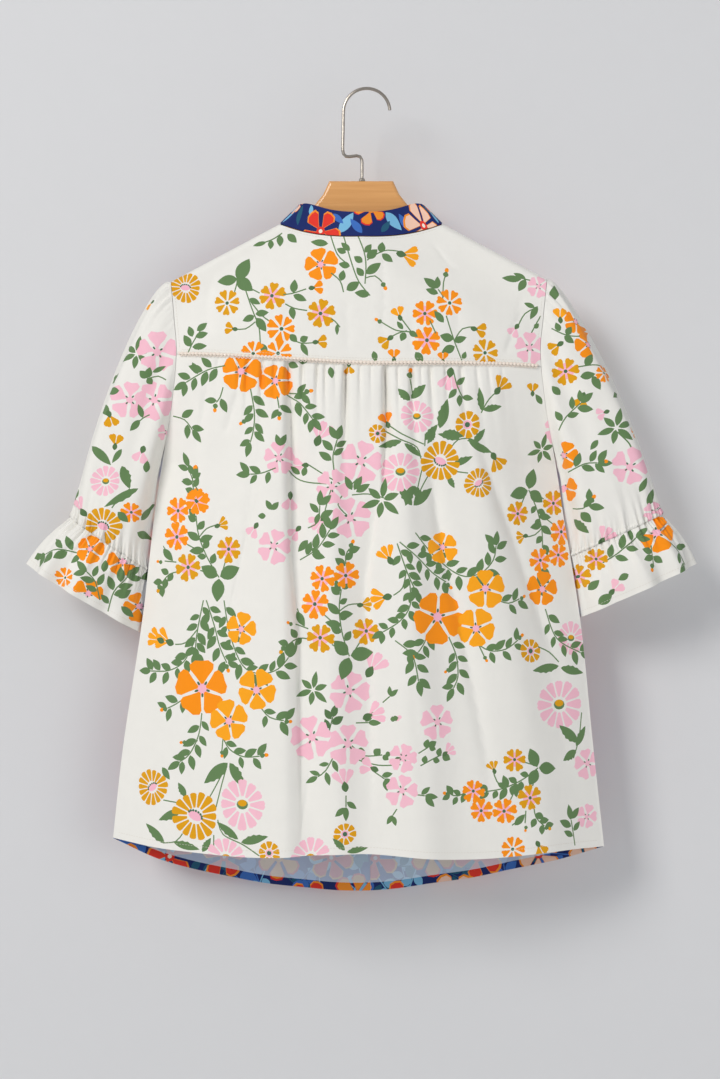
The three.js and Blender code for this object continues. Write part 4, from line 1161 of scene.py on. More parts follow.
print("fronts", [len(piece.data.polygons) for piece in frontPieces])


# Sleeves and cuffs
sleeves = {
    "Left": {
        "side": -1, "capPull": (104, 24), "elasticOuter": (-304.5, -449.5), "elasticInner": (-221, -507),
        "hemOuter": (-347.5, -501), "hemInner": (-229, -572)},
    "Right": {
        "side": 1, "capPull": (90, 35), "elasticOuter": (315, -446), "elasticInner": (215.5, -492),
        "hemOuter": (347.5, -500), "hemInner": (226, -556)},
}
sleeveFacts = {
    "elasticDepth": 26.0, "hemDepth": 32.0, "behindOuter": 4.0, "behindInner": 15.0, "crowding": 0.4,
    "around": 280.0, "along": 260.0, "columns": 2.4,
    "rows": [(50, 4, 2.4), (200, 7, 4.0), (236, 5, 2.2), (260, 1.6, 0.66)]}
cuffFacts = {"around": 300.0, "along": 66.0, "columns": 1.2, "rows": [(24, 2.4, 1.2), (66, 4.5, 2.4)]}


def drapeAcross(face, side, run):
    x = np.full_like(run, edgeX(side, body["shoulderTipZ"]))
    for _ in range(4):
        z = np.where(face < 0, drape(-1, x, run)[..., 2], drape(1, x, run)[..., 2])
        x = edgeX(side, z)
    return np.where((face < 0)[..., None], drape(-1, x, run), drape(1, x, run))


def ring(outer, inner, depth, turn):
    out, back = np.cos(2 * np.pi * turn), np.sin(2 * np.pi * turn)
    share = (1 + out) / 2
    behind = sleeveFacts["behindInner"] + (sleeveFacts["behindOuter"] - sleeveFacts["behindInner"]) * share
    x = inner[0] + (outer[0] - inner[0]) * share
    z = inner[1] + (outer[1] - inner[1]) * share
    return np.stack([x, behind - depth * np.sign(back) * np.abs(back) ** 1.2, z], axis=-1)


# Along the elastic's line from its inner to its outer end.
def elasticWide(facts):
    (outerX, outerZ), (innerX, innerZ) = facts["elasticOuter"], facts["elasticInner"]
    wide = np.array([outerX - innerX, 0, outerZ - innerZ])
    return wide / np.linalg.norm(wide)


def ringOutward(facts, turn):
    away = elasticWide(facts) * (np.cos(2 * np.pi * turn) * 0.6)[..., None]
    away[..., 1] -= np.sin(2 * np.pi * turn)
    return away / np.linalg.norm(away, axis=-1, keepdims=True)


def sleevePoint(facts, turn, v, relief=None):
    turn = turn % 1.0
    side = facts["side"]
    top = turn - sleeveFacts["crowding"] / (2 * np.pi) * np.sin(2 * np.pi * turn)
    face = np.where(top <= 0.5, -1, 1)
    fullRun = bendArc + body["shoulderTipZ"] - body["ridgeBend"] - body["underarmZ"]
    armhole = drapeAcross(face, side, (1 - np.abs(1 - 2 * top)) * fullRun)
    opened = smooth((edgeDepth(armhole[..., 2]) - halfGap) / 7)
    armhole[..., 0] += side * (body["seamGap"] + 0.2 + (1 - opened) * 1.2)
    out, back = np.cos(2 * np.pi * turn), np.sin(2 * np.pi * turn)
    capward = (1 + out) / 2
    pull = facts["capPull"]
    fromPull = np.stack([
        side * (31 + (pull[0] - 31) * capward), -30 * back + 8 * (1 - out),
        -(125 + (pull[1] - 125) * capward)], axis=-1)
    toPull = np.stack([side * (20 + 15 * out), 44 * back, -(170 + 55 * out)], axis=-1)
    elastic = ring(facts["elasticOuter"], facts["elasticInner"], sleeveFacts["elasticDepth"], turn)
    v = v[..., None]
    blend = smooth(v)
    p = armhole * (1 - blend) + elastic * blend + fromPull * v * (1 - v) ** 2 - toPull * v * v * (1 - v)
    if relief is not None:
        p += ringOutward(facts, turn) * relief(turn, v[..., 0])[..., None]
    return p


# Gathers round a sleeve: how many, depth, where they start or how far they reach, and phase.
elasticWaves = [
    (96, 0.55, 0.93, 0.3), (71, 0.8, 0.89, 2.1), (47, 1.0, 0.84, 4.0), (31, 0.9, 0.74, 1.2), (19, 0.8, 0.62, 5.0)]
capWaves = [(41, 0.8, 0.10, 0.2), (29, 1.2, 0.15, 2.0), (19, 1.3, 0.22, 1.0)]


def elasticWave(turn, count, depth, phase):
    return depth * np.cos(2 * np.pi * count * turn + phase + 0.35 * np.sin(2 * np.pi * turn * 5 + phase))


def sleeveRelief(turn, v):
    total = np.zeros_like(turn)
    for count, depth, start, phase in elasticWaves:
        total += elasticWave(turn, count, depth, phase) * smooth((v - start) / (1 - start)) ** 1.6
    near = np.abs((turn + 0.5) % 1 - 0.5)
    cap = np.exp(-((near / 0.13) ** 2)) * smooth(v / 0.04)
    for count, depth, length, phase in capWaves:
        total += depth * cap * np.exp(-((v / length) ** 2)) * np.cos(2 * np.pi * count * turn + phase)
    slack = smooth(v / 0.3) * (1 - smooth((v - 0.75) / 0.25))
    total += 2.6 * slack * np.cos(2 * np.pi * turn * 5 + 1.0 + 2.4 * v)
    total += 1.2 * slack * np.cos(2 * np.pi * turn * 8 + 3.0 - 2 * v)
    return total + shirring(turn, (1 - v) * sleeveFacts["along"])


# The narrow shirred band over the elastic, above and below its line.
def shirring(turn, away):
    band = np.exp(-((away - 2.6) / 2.6) ** 2)
    return band * (0.9 + 0.5 * np.cos(2 * np.pi * 118 * turn + 0.8 * np.sin(2 * np.pi * 7 * turn)))


def cuffPoint(facts, turn, v, relief=None):
    turn = turn % 1.0
    start = ring(facts["elasticOuter"], facts["elasticInner"], sleeveFacts["elasticDepth"], turn)
    wide = elasticWide(facts)
    start = start + np.array([facts["side"] * wide[2], 0, -abs(wide[0])]) * body["seamGap"]
    end = ring(facts["hemOuter"], facts["hemInner"], sleeveFacts["hemDepth"], turn)
    clear = smooth((1 + np.cos(2 * np.pi * turn)) * 1.1)
    away = ringOutward(facts, turn)
    push = 5 * clear * np.sin(np.pi * np.clip(v, 0, 1))
    if relief is not None:
        push = push + relief(turn, v, clear)
    return start * (1 - v[..., None]) + end * v[..., None] + away * push[..., None]


def cuffRelief(turn, v, clear):
    wave = 5.0 * v * np.cos(2 * np.pi * turn * 8 + 0.9) + 2.4 * v * np.cos(2 * np.pi * turn * 13 + 2.0)
    total = wave * clear
    for count, depth, start, phase in elasticWaves:
        total += elasticWave(turn, count, depth, phase) * (1 - smooth(v / (3.2 * (1.05 - start))))
    return total


# Where a place of the picture lies on a tube, searched over its back half or, mirrored, its front half.
class Tube:
    def __init__(self, smoothSurface, around, along, half=1):
        self.around, self.along, self.half = around, along, half
        turns, vs = np.meshgrid(np.linspace(0.004, 0.496, 124), np.linspace(0.0, 1.0, 110))
        self.turns, self.vs = turns.ravel() * half, vs.ravel()
        self.smoothSurface = smoothSurface
        self.seen = self.look(self.turns, self.vs)

    def look(self, turns, vs):
        return self.smoothSurface(turns, vs)[..., [0, 2]]

    def find(self, places):
        places = np.atleast_2d(places)
        nearest = np.array([np.argmin(np.sum((self.seen - p) ** 2, axis=1)) for p in places])
        gap = np.sqrt(np.sum((self.seen[nearest] - places) ** 2, axis=1))
        turn, v = self.turns[nearest].copy(), self.vs[nearest].copy()
        for _ in range(2):
            here = self.look(turn, v)
            du = (self.look(turn + 1e-3, v) - here) / 1e-3
            dv = (self.look(turn, np.minimum(v + 1e-3, 1.0)) - here) / 1e-3
            det = du[:, 0] * dv[:, 1] - du[:, 1] * dv[:, 0]
            det = np.where(np.abs(det) < 400, np.sign(det + 1e-9) * 400, det)
            off = places - here
            turn = turn + np.clip((off[:, 0] * dv[:, 1] - off[:, 1] * dv[:, 0]) / det, -0.01, 0.01)
            v = v + np.clip((du[:, 0] * off[:, 1] - du[:, 1] * off[:, 0]) / det, -0.02, 0.02)
        flat = np.stack([turn * self.around, -v * self.along], axis=1)
        return flat, gap

    def lay(self, shapes):
        laid = []
        low, high = (-1.0, self.around * 0.5 - 1.0) if self.half > 0 else (5.0, self.around * 0.5 - 6.0)
        for points, tint in shapes:
            flat, gap = self.find(np.array(points))
            if gap.max() < 3.5 and np.abs(flat[:, 0]).max() < high and np.abs(flat[:, 0]).min() > low:
                laid.append(([tuple(p) for p in flat], tint))
        return laid


# A tube's flat cloth, cut open along its hidden side. Rows give the height down to which a step and spacing hold.
def cutTube(facts, islands):
    half, along = facts["around"] / 2, facts["along"]
    vs = np.arange(0, along + 1e-6, along / 64)[1:-1]
    us = np.linspace(-half, half, int(facts["around"] / facts["columns"]) + 1)
    outline = [(u, 0.0) for u in us] + [(half, -v) for v in vs]
    outline += [(u, -along) for u in us[::-1]] + [(-half, -v) for v in vs[::-1]]
    grid = []
    v = facts["rows"][0][1]
    for limit, step, spacing in facts["rows"]:
        while v < limit - step * 0.4:
            us = np.arange(-half + spacing * (0.75 if len(grid) % 2 else 0.5), half - spacing * 0.3, spacing)
            grid.append(np.stack([us, np.full(len(us), -v)], axis=1))
            v += step
    return cutCloth(np.array(outline)[::-1], islands, np.concatenate(grid))


leftSleevePrint = [
    ("star", (137, 354, 17)),
    ("blush", (157, 352, 20, "pink", 90), (154.5, 400, 19, "pink", 40), (130, 400, 18, "pink", 10)),
    ("leaf", (147, 378, 140, 371, 8), (147, 378, 150, 367, 7), (147, 378, 152, 384, 7), (152, 372, 166, 366, 5)),
    ("stem", (149, 378, 158, 376, 166, 380)), ("leaf", (120, 391, 106, 392, 8), (102, 404, 110, 417, 9)),
    ("cup", (110, 415, 12, "mustard", -75), (115, 446, 12, "mustard", 80)),
    ("leaf", (93, 447, 111, 465, 9), (122, 449, 112, 463, 6)), ("rose", (105.5, 481, 15, "pink", 0)),
    ("toothed", (122, 466, 130, 489, 12), (138, 488, 104, 507, 9), (159, 487, 137, 502, 9)),
    ("stem", (130, 489, 120, 498, 112, 508)), ("cup", (143, 450, 13, "pink", 250)),
    ("blush", (166, 432, 9, "pink", 0)), ("tiny", (167, 453, 8, "orange", 0)), ("leaf", (145, 472, 147, 460, 6)),
    ("gold", (103, 526, 18, "mustard", 0)), ("cup", (82, 512, 15, "pink", 130)),
    ("tiny", (131, 512, 10, "orange", 0)),
    ("leaf", (118, 512, 128, 522, 8), (140, 520, 151, 509, 8), (136, 532, 150, 540, 8), (140, 420, 130, 431, 7),
        (143, 418, 138, 404, 6)),
    ("stem", (150, 415, 142, 419, 133, 428)), ("cup", (150, 300, 9, "amber", 200)),
    ("leaf", (118, 372, 108, 380, 7), (160, 470, 170, 462, 7), (70, 500, 78, 489, 7), (158, 525, 164, 512, 7)),
    ("tiny", (155, 545, 9, "orange", 0)),
]
leftCuffPrint = [
    ("spray", (88, 556, 64, 550, 44, 554)),
    ("broad", (90, 549, 14, "orange", 0), (122, 562, 15, "orange", 20), (89, 593, 15, "orange", 0),
        (137, 607, 15, "orange", 40)),
    ("spray", (108, 612, 114, 592, 126, 578), (100, 600, 96, 582, 88, 572)),
    ("leaf", (118, 598, 130, 590, 7), (120, 606, 132, 618, 7), (140, 580, 150, 572, 7), (142, 586, 152, 594, 7),
        (104, 572, 106, 560, 7)),
    ("plain", (64, 577, 10, "orange", 0)), ("cup", (148, 600, 12, "amber", 60)),
]
rightSleevePrint = [
    ("leaf", (556, 299, 555, 284, 9)), ("cup", (561, 319, 12, "amber", 90)),
    ("broad", (578, 320, 13, "orange", 10), (589, 344, 14, "orange", 40)), ("stem", (552, 328, 566, 335, 580, 336)),
    ("leaf", (560, 331, 556, 322, 6), (566, 335, 572, 326, 7), (564, 336, 574, 343, 7)),
    ("cup", (560, 344, 12, "mustard", 215)), ("tiny", (566, 371, 13.5, "mustard", 10)),
    ("stem", (578, 367, 592, 365, 604, 366)),
    ("leaf", (585, 366, 592, 354, 8), (580, 377, 595, 374, 8), (592, 376, 600, 390, 8)),
    ("plain", (604, 373, 9, "orange", 0)), ("cup", (583, 396, 12, "mustard", 250)),
    ("spray", (560, 430, 566, 417, 581, 403)), ("star", (616, 428, 18)), ("stem", (617, 432, 628, 444, 632, 455)),
    ("blush", (630, 467, 18, "pink", 0)), ("broad", (565, 455, 14, "orange", 0), (564, 489, 15, "orange", 30)),
    ("spray", (569, 472, 584, 464, 597, 463)), ("bud", (602, 462, 5, "orange", 10)),
    ("bareSpray", (573, 509, 584, 508, 590, 503)), ("bud", (592, 500, 5, "orange", 60)),
    ("leaf", (582, 512, 592, 522, 9)), ("toothed", (574, 520, 590, 533, 10)), ("cup", (603, 541, 15, "pink", 60)),
    ("leaf", (648, 506, 654, 489, 8)), ("blush", (655, 512, 10, "pink", 0)),
    ("leaf", (622, 390, 612, 398, 7), (640, 492, 646, 478, 6), (598, 440, 590, 450, 6)),
    ("cup", (606, 412, 10, "pink", 200)), ("leaf", (560, 395, 552, 386, 7)), ("tiny", (640, 430, 10, "orange", 0)),
]
rightCuffPrint = [
    ("broad", (657, 533, 18, "orange", 0)), ("spray", (603, 563, 618, 553, 636, 538)), ("stem", (652, 545, 654, 566)),
    ("leaf", (653, 552, 642, 549, 7), (654, 556, 643, 560, 7), (654, 556, 664, 562, 7)),
    ("bud", (652, 566, 5, "orange", -95)), ("spray", (669, 543, 679, 552, 687, 565)),
    ("tiny", (597, 559, 11, "mustard", 0), (580, 577, 12, "mustard", 20)), ("cup", (612, 592, 13, "pink", 50)),
    ("leaf", (600, 604, 612, 594, 10), (590, 590, 600, 580, 8), (628, 574, 618, 580, 7)),
    ("plain", (668, 588, 9, "orange", 0)),
]


# The same kinds of motif a little elsewhere, for the half that the picture hides.
def shuffled(chart):
    chance = random.Random(31)
    moved = []
    for kind, *rows in chart:
        if kind not in ("spray", "bareSpray", "stem", "leaf", "toothed"):
            rows = [(x + chance.uniform(-5, 5), y + chance.uniform(-6, 6), *rest) for x, y, *rest in rows]
        moved.append((kind, *rows))
    return moved


def tubePrint(bare, facts, chart):
    islands = []
    for half, planned in ((1, chart), (-1, shuffled(chart))):
        shapes = printShapes(planned, lambda px, py: tuple(float(c) for c in fromPhoto(px, py, 20 * half)))
        islands += Tube(bare, facts["around"], facts["along"], half).lay(shapes)
    return islands


def flatTube(facts, point, tube, relief=None):
    def surface(flat):
        return point(facts, flat[:, 0] / tube["around"], -flat[:, 1] / tube["along"], relief)
    return surface


sleeveTubes = []
for name, sleevePrint, cuffPrint in (
        ("Left", leftSleevePrint, leftCuffPrint), ("Right", rightSleevePrint, rightCuffPrint)):
    facts = sleeves[name]
    for kind, point, relief, chart, tube in (
            ("sleeve", sleevePoint, sleeveRelief, sleevePrint, sleeveFacts),
            ("cuff", cuffPoint, cuffRelief, cuffPrint, cuffFacts)):
        cut = cutTube(tube, tubePrint(lambda turn, v: point(facts, turn, v), tube, chart))
        surface = flatTube(facts, point, tube, relief)
        sleeveTubes.append(shell(
            kind + name, surface, cut, creamCloth, outward=-facts["side"], wrapAt=tube["around"] / 2))
print("sleeves", [len(piece.data.polygons) for piece in sleeveTubes])


# Collar
collarFacts = {
    "height": 25.0, "lean": 20.0, "lift": 1.1, "inset": 1.4, "crossFrom": 0.22, "crossTo": 0.28, "around": 560.0,
    "tall": 28.0, "thickness": 1.3, "pitch": 62, "size": 1.25, "seed": 23, "charted": (158, 402)}


def collarPoint(flat):
    turn, level = flat[:, 0] / collarFacts["around"], flat[:, 1] / collarFacts["tall"]
    turn = np.clip(turn, 0, 1)
    side = np.where(turn < 0.5, -1.0, 1.0)
    fromFront = np.where(turn < 0.5, turn, 1 - turn)
    shoulderX = body["neckHalf"] - collarFacts["inset"]
    a, b = collarFacts["crossFrom"], collarFacts["crossTo"]
    rise = np.sin(np.clip(fromFront / a, 0, 1) * np.pi / 2)
    frontX = body["slitHalf"] + 1 + (shoulderX - body["slitHalf"] - 1) * rise
    front = drape(1, side * frontX, runTo(frontX, neckFrontZ(frontX)))
    one = np.full_like(turn, shoulderX)
    frontRun, backRun = runTo(one, neckFrontZ(one)), runTo(one, neckBackZ(one))
    share = np.clip((fromFront - a) / (b - a), 0, 1)
    over = drape(1, side * shoulderX, np.maximum(frontRun + (-backRun - frontRun) * share, -bendArc))
    behind = drape(-1, side * shoulderX, np.maximum(-(frontRun + (-backRun - frontRun) * share), -bendArc))
    over = np.where((share > 0.5)[:, None], behind, over)
    swing = np.clip((0.5 - fromFront) / (0.5 - b), 0, 1) * np.pi / 2
    backX = shoulderX * np.sin(swing)
    back = drape(-1, side * backX, runTo(backX, neckBackZ(backX)))
    p = np.where((fromFront < a)[:, None], front, np.where((fromFront < b)[:, None], over, back))
    sideways = np.abs(p[:, 0]) / body["neckHalf"]
    rise = collarFacts["height"] * (1 + 0.35 * sideways ** 2 - 0.65 * sideways ** 6)
    p[:, 2] += collarFacts["lift"] + rise * level
    p[:, 0] -= np.sign(p[:, 0]) * (collarFacts["lean"] * sideways ** 2 * level + 0.3)
    p[:, 1] *= 1 + 0.25 * sideways ** 6 * level
    return p


around, tall = collarFacts["around"], collarFacts["tall"]
collarOutline = np.array(
    [(u, 0.0) for u in np.linspace(0, around, 281)] + [(around, v) for v in (7, 14, 21)]
    + [(u, tall) for u in np.linspace(around, 0, 281)] + [(0.0, v) for v in (21, 14, 7)])
collarChance = random.Random(4)
scattered = bluePrint((0, 0), (around, tall), collarFacts["pitch"], collarFacts["seed"], collarFacts["size"])
chartLeft, chartRight = collarFacts["charted"]  # the seen part's own leaves and blooms follow below
collarPrint = [
    (points, tint) for points, tint in scattered if not chartLeft < np.mean([p[0] for p in points]) < chartRight]
for x0, y0, x1, y1, width, tint in [
        (165, 2, 182, 24, 10, "sky"), (192, 26, 206, 4, 9, "deep"), (258, 3, 272, 27, 11, "sky"),
        (281, 3, 269, 20, 8, "blue"), (306, 26, 322, 4, 11, "sky"), (300, 4, 310, 16, 7, "deep"),
        (384, 2, 398, 22, 10, "sky"), (214, 27, 222, 16, 7, "sky"), (330, 4, 322, 22, 8, "blue"),
        (376, 26, 388, 16, 8, "deep"), (250, 24, 262, 14, 7, "blue")]:
    collarPrint.append((leafShape((x0, y0), (x1, y1), width), tint))
for x, y, radius, fill, edge, turn in [
        (238, 3, 25, "red", "orange", 65), (352, 4, 27, "peach", "orange", 40), (290, 30, 18, "orange", "red", 250),
        (176, 28, 15, "peach", "orange", 200), (398, 30, 14, "red", "orange", 240)]:
    collarPrint += bloom(x, y, radius, fill, edge, turn, collarChance)
collarCut = cutCloth(collarOutline, collarPrint, gridPoints((0, 2), (around, tall - 1), (3.0, 4.0)))
collar = shell(
    "collar", collarPoint, collarCut, navyCloth, thickness=collarFacts["thickness"], palette=navyColours, wrongSide=0.0)
print("collar", len(collar.data.polygons))


# Trim and stitching
trimFacts = {
    "pitch": 3.8, "bandHalf": 1.4, "bandDeep": 0.9, "lift": 1.0, "loopReach": 1.9, "loopWire": 0.42, "off": 1.5}


def addMesh(name, places, faces, material):
    mesh = bpy.data.meshes.new(name)
    mesh.from_pydata(toScene(places), [], [tuple(int(i) for i in f) for f in faces])
    mesh.update()
    return addPiece(name, mesh, material)


# A round or flat cord along a path, closed at both ends.
def cordMesh(path, radiusA, radiusB, sideA, sideB, around=8):
    path = np.asarray(path, float)
    rings = []
    for k in range(around):
        angle = 2 * math.pi * k / around
        across = sideA * (np.atleast_1d(radiusA) * math.cos(angle))[:, None]
        rings.append(path + across + sideB * (np.atleast_1d(radiusB) * math.sin(angle))[:, None])
    faces = []
    for r in range(len(path) - 1):
        for k in range(around):
            a, b = r * around + k, r * around + (k + 1) % around
            faces.append((a, b, b + around, a + around))
    faces.append(tuple(range(around - 1, -1, -1)))
    faces.append(tuple((len(path) - 1) * around + k for k in range(around)))
    return np.stack(rings, axis=1).reshape(-1, 3), faces


def joinParts(parts):
    places, faces, count = [], [], 0
    for p, f in parts:
        places.append(p)
        faces += [tuple(i + count for i in face) for face in f]
        count += len(p)
    return np.concatenate(places), faces


def seamPoint(x, up, off):
    x = np.atleast_1d(np.asarray(x, float))
    v = yokeZ(x) + up + bendShift
    u, v = yokePanel.toFlat(x, v)
    p = yokePanel.surface(np.stack([u, v], axis=1))
    p[:, 1] -= off
    return p


# Outward and upward directions along a path.
def bendAround(path, up=(0, 0, 1)):
    ahead = np.gradient(path, axis=0)
    ahead /= np.linalg.norm(ahead, axis=1, keepdims=True)
    out = np.cross(ahead, np.array(up, float))
    out /= np.linalg.norm(out, axis=1, keepdims=True)
    return out, np.cross(out, ahead)


braidCotton = speckled("braidCotton", {
    "roughness": 0.85, "scale": 900, "light": (0.93, 0.84, 0.74, 1), "dark": (0.82, 0.70, 0.60, 1),
    "relief": (0.5, 0.0003)})
trimLeft, trimRight = float(edgeX(-1, sideSeam[-1])) + 2.5, float(edgeX(1, sideSeam[1])) - 2.5
xs = np.arange(trimLeft, trimRight, 0.7)
swing = 2 * math.pi * xs / trimFacts["pitch"]
trimPath = seamPoint(xs, trimFacts["lift"], trimFacts["off"])
trimPath[:, 2] += 0.35 * np.sin(swing)
trimOut, trimUp = bendAround(trimPath)
bandHalf = trimFacts["bandHalf"] * (1 + 0.42 * np.cos(swing))
bandDeep = trimFacts["bandDeep"] * (1 + 0.45 * np.cos(swing))
parts = [cordMesh(trimPath, bandHalf, bandDeep, trimUp, trimOut)]
for middle in np.arange(trimLeft + 2.5, trimRight - 2.5, trimFacts["pitch"]):
    arc = np.linspace(0, math.pi, 8)
    drop = trimFacts["lift"] - 1.0 - trimFacts["loopReach"] * np.sin(arc)
    loop = seamPoint(middle + 1.4 * np.cos(arc), drop, trimFacts["off"] + 0.1)
    out, up = bendAround(loop, (0, 1, 0))
    parts.append(cordMesh(loop, trimFacts["loopWire"], trimFacts["loopWire"], out, up, 5))
yokeBraid = addMesh("yokeBraid", *joinParts(parts), braidCotton)
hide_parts("yoke_trim")
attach(yokeBraid, "root")


sewingThread = speckled("sewingThread", {
    "roughness": 0.6, "scale": 1500, "light": (0.80, 0.76, 0.68, 1), "dark": (0.70, 0.65, 0.57, 1)})


stitchFacts = {
    "length": 2.3, "gap": 0.9, "radius": 0.19, "step": 1.5, "aboveHem": 7, "aboveTrim": 5.2, "belowNeck": 2.2,
    "fromArmhole": 3.0, "downCuff": 60.0, "cuffStep": 1.2}


# Rows of machine stitches: short slack capsules of thread lying on the cloth.
def stitchRow(path, outs):
    path = np.asarray(path, float)
    length, gap, radius = stitchFacts["length"], stitchFacts["gap"], stitchFacts["radius"]
    far = np.concatenate([[0], np.cumsum(np.linalg.norm(np.diff(path, axis=0), axis=1))])
    parts = []
    at = gap
    while at + length < far[-1]:
        steps = at + np.array([0, 0.12, 0.5, 0.88, 1]) * length
        line = np.stack([np.interp(steps, far, path[:, k]) for k in range(3)], axis=1)
        out = np.stack([np.interp(steps, far, outs[:, k]) for k in range(3)], axis=1)
        out /= np.linalg.norm(out, axis=1, keepdims=True)
        ahead = line[-1] - line[0]
        across = np.cross(ahead / np.linalg.norm(ahead), out)
        size = radius * np.array([0.15, 0.8, 1, 0.8, 0.15])
        line = line + out * (0.42 + 0.10 * np.array([-1.2, 0, 0.4, 0, -1.2]))[:, None]
        parts.append(cordMesh(line, size, size, across, out, 5))
        at += length + gap
    return parts


def surfaceStitches(surface, flat, outward=1):
    return stitchRow(surface(flat), surfaceNormals(surface, flat) * outward)


def panelStitches(panel, xs, zs):
    return surfaceStitches(panel.surface, np.stack(panel.toFlat(xs, zs + bendShift), axis=1))


stitches = []
step = stitchFacts["step"]
hemXs = np.arange(-255.0, 249.0, step)
stitches += panelStitches(backPanel, hemXs, hemZ(-1, hemXs) + stitchFacts["aboveHem"])
seamXs = np.arange(trimLeft + 2, trimRight - 2, step)
stitches += panelStitches(yokePanel, seamXs, yokeZ(seamXs) + stitchFacts["aboveTrim"])
neckXs = np.arange(-80.0, 80.5, step)
stitches += panelStitches(yokePanel, neckXs, neckBackZ(neckXs) - stitchFacts["belowNeck"])
for side in (-1, 1):
    zs = np.arange(-215.0, -275.0, -step)
    stitches += panelStitches(yokePanel, edgeX(side, zs) - side * stitchFacts["fromArmhole"], zs)
us = np.arange(1 - cuffFacts["around"] / 2, cuffFacts["around"] / 2 - 1, stitchFacts["cuffStep"])
cuffDown = np.full(len(us), -stitchFacts["downCuff"])
for facts in sleeves.values():
    surface = flatTube(facts, cuffPoint, cuffFacts, cuffRelief)
    stitches += surfaceStitches(surface, np.stack([us, cuffDown], axis=1), -facts["side"])
stitching = addMesh("stitching", *joinParts(stitches), sewingThread)
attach(stitching, "root")
print("trim and stitches", len(yokeBraid.data.polygons), len(stitching.data.polygons))

# Each cloth piece with its node, its flat size in metres, all round on a tube, its area if that is less, and its slot.
sheets = [
    (backBody, "back_body", (0.62, 0.515), None, "flowered_cream"),
    (backYoke, "back_yoke", (0.39, 0.2), 0.056, "flowered_cream"),
    (frontPieces[0], "front_left", (0.27, 0.66), None, "flowered_blue"),
    (frontPieces[1], "front_right", (0.27, 0.66), None, "flowered_blue"),
    (collar, "collar_band", (0.39, 0.027), None, "flowered_blue"),
    (sleeveTubes[0], "sleeve_left", (0.3, 0.23), None, "flowered_cream"),
    (sleeveTubes[1], "cuff_left", (0.34, 0.066), None, "flowered_cream"),
    (sleeveTubes[2], "sleeve_right", (0.3, 0.23), None, "flowered_cream"),
    (sleeveTubes[3], "cuff_right", (0.34, 0.066), None, "flowered_cream"),
]
for piece, node, flat, area, slotName in sheets:
    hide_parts(node)
    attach(piece, "root")
print("sheets", len(sheets))


# Hanger
wood = speckled("wood", {
    "roughness": 0.42, "stretch": (1.2, 8.0, 30.0), "scale": 9.0, "noise": {"Detail": 6, "Distortion": 0.6},
    "light": (0.80, 0.42, 0.15, 1), "dark": (0.60, 0.27, 0.075, 1), "relief": (0.12, 0.0005)})
wood.node_tree.nodes["Principled BSDF"].inputs["Coat Weight"].default_value = 0.25
# The wire's two tones are set dark as a painted reflection of the dark room the hook reflects, with a random mottle
# between them.
metal = speckled("wirePaintedDark", {
    "roughness": 0.3, "metallic": 1.0, "scale": 240, "light": (0.36, 0.32, 0.275, 1), "dark": (0.46, 0.42, 0.37, 1)})
for nodeName, material, slotName in (
        ("hanger_board", wood, "wood"), ("hanger_hook", metal, "wire"), ("hook_ferrule", metal, "wire")):
    carried = nodes[nodeName]
    carried.data.materials.clear()
    carried.data.materials.append(material)
print("hanger finished")


# Wall, lights and camera
stageFacts = {
    "wallY": 0.064, "floorZ": -1.3, "reach": 3.0, "wallTone": (0.68, 0.683, 0.69, 1), "aim": (0, 0, -0.45),
    "lamps": {  # place, extent, power and colour
        "keyLight": ((-2.9, -3.4, 1.9), 1.8, 142, (1.0, 0.985, 0.965)),
        "fillLight": ((1.7, -2.2, -0.4), 1.6, 12, (1, 1, 1)),
        "frontFill": ((0.4, 2.2, 0.5), 1.6, 36, (1, 1, 1))},
    "skyColour": (0.93, 0.95, 1.0, 1), "sky": 0.405, "lens": 70, "film": 36}
tone = stageFacts["wallTone"]
plaster = speckled("wallPlaster", {
    "roughness": 0.9, "scale": 40, "light": tone, "dark": tuple(c * 0.985 for c in tone[:3]) + (1,)})
plasterTree = plaster.node_tree
facing = addNode(plasterTree, "NewGeometry", {}).outputs["Backfacing"]
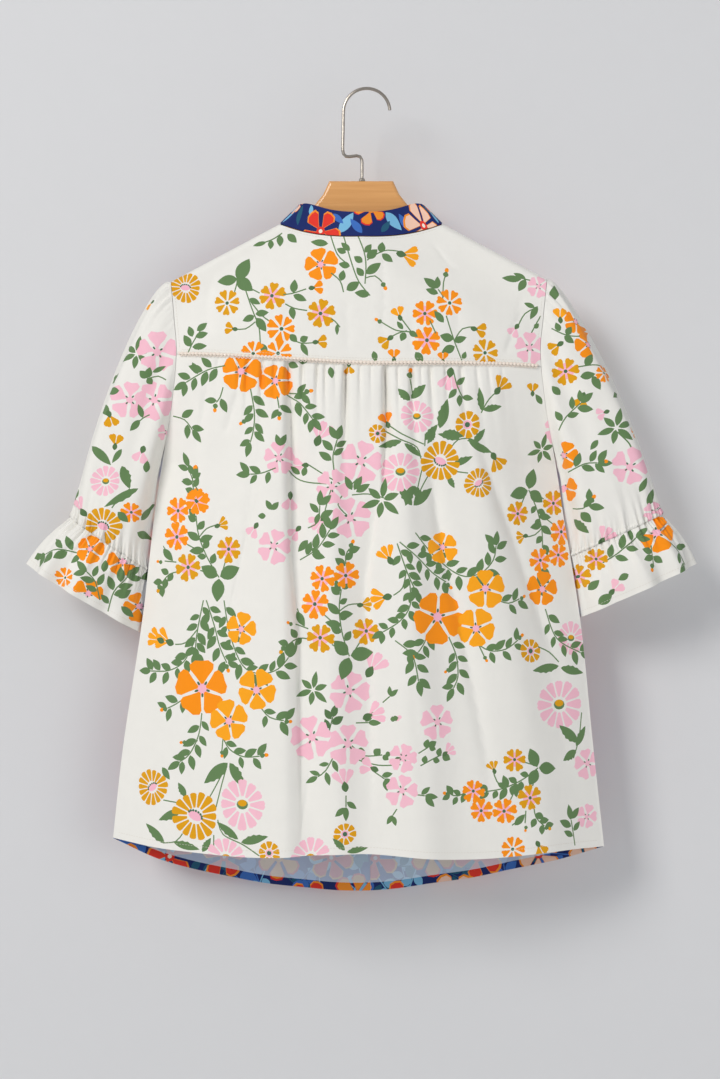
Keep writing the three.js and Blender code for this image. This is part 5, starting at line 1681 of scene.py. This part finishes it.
solid = addNode(plasterTree, "Math", {0: 1.0, 1: facing}, operation="SUBTRACT").outputs["Value"]
feed(plasterTree.nodes["Principled BSDF"].inputs["Alpha"], solid)


def stagePlane(name, turn, place):
    plane = bmesh.new()
    bmesh.ops.create_grid(plane, x_segments=1, y_segments=1, size=stageFacts["reach"])
    bmesh.ops.rotate(plane, matrix=Matrix.Rotation(math.radians(turn), 3, "X"), verts=plane.verts)
    bmesh.ops.translate(plane, vec=place, verts=plane.verts)
    mesh = bpy.data.meshes.new(name)
    plane.to_mesh(mesh)
    plane.free()
    mesh.materials.append(plaster)
    piece = bpy.data.objects.new(name, mesh)
    scene.collection.objects.link(piece)
    return piece


wall = stagePlane("wall", 90, (0, stageFacts["wallY"], stageFacts["floorZ"] + stageFacts["reach"]))
wall.visible_diffuse = wall.visible_shadow = False  # the room lights the front of the blouse through it
stagePlane("floor", 0, (0, stageFacts["wallY"] - stageFacts["reach"], stageFacts["floorZ"]))
for name, (place, extent, power, tint) in stageFacts["lamps"].items():
    lampData = bpy.data.lights.new(name, "AREA")
    lampData.size = extent
    lampData.energy = power
    lampData.color = tint
    lamp = bpy.data.objects.new(name, lampData)
    scene.collection.objects.link(lamp)
    lamp.location = place
    lamp.rotation_euler = (Vector(stageFacts["aim"]) - Vector(place)).to_track_quat("-Z", "Y").to_euler()
world = bpy.data.worlds.new("room")
scene.world = world
world.use_nodes = True
sky = world.node_tree.nodes["Background"]
sky.inputs["Color"].default_value = stageFacts["skyColour"]
sky.inputs["Strength"].default_value = stageFacts["sky"]
cameraData = bpy.data.cameras.new("photoCamera")
cameraData.lens = stageFacts["lens"]
cameraData.sensor_width = stageFacts["film"]
camera = bpy.data.objects.new("photoCamera", cameraData)
scene.collection.objects.link(camera)
camera.location = [c / 1000 for c in (picture["cameraX"], -picture["cameraBack"], picture["cameraZ"])]
camera.rotation_euler = (math.pi / 2, 0, 0)
scene.camera = camera
scene.view_settings.view_transform = "Standard"
print("wall, lights and camera in place")

bpy.context.view_layer.update()
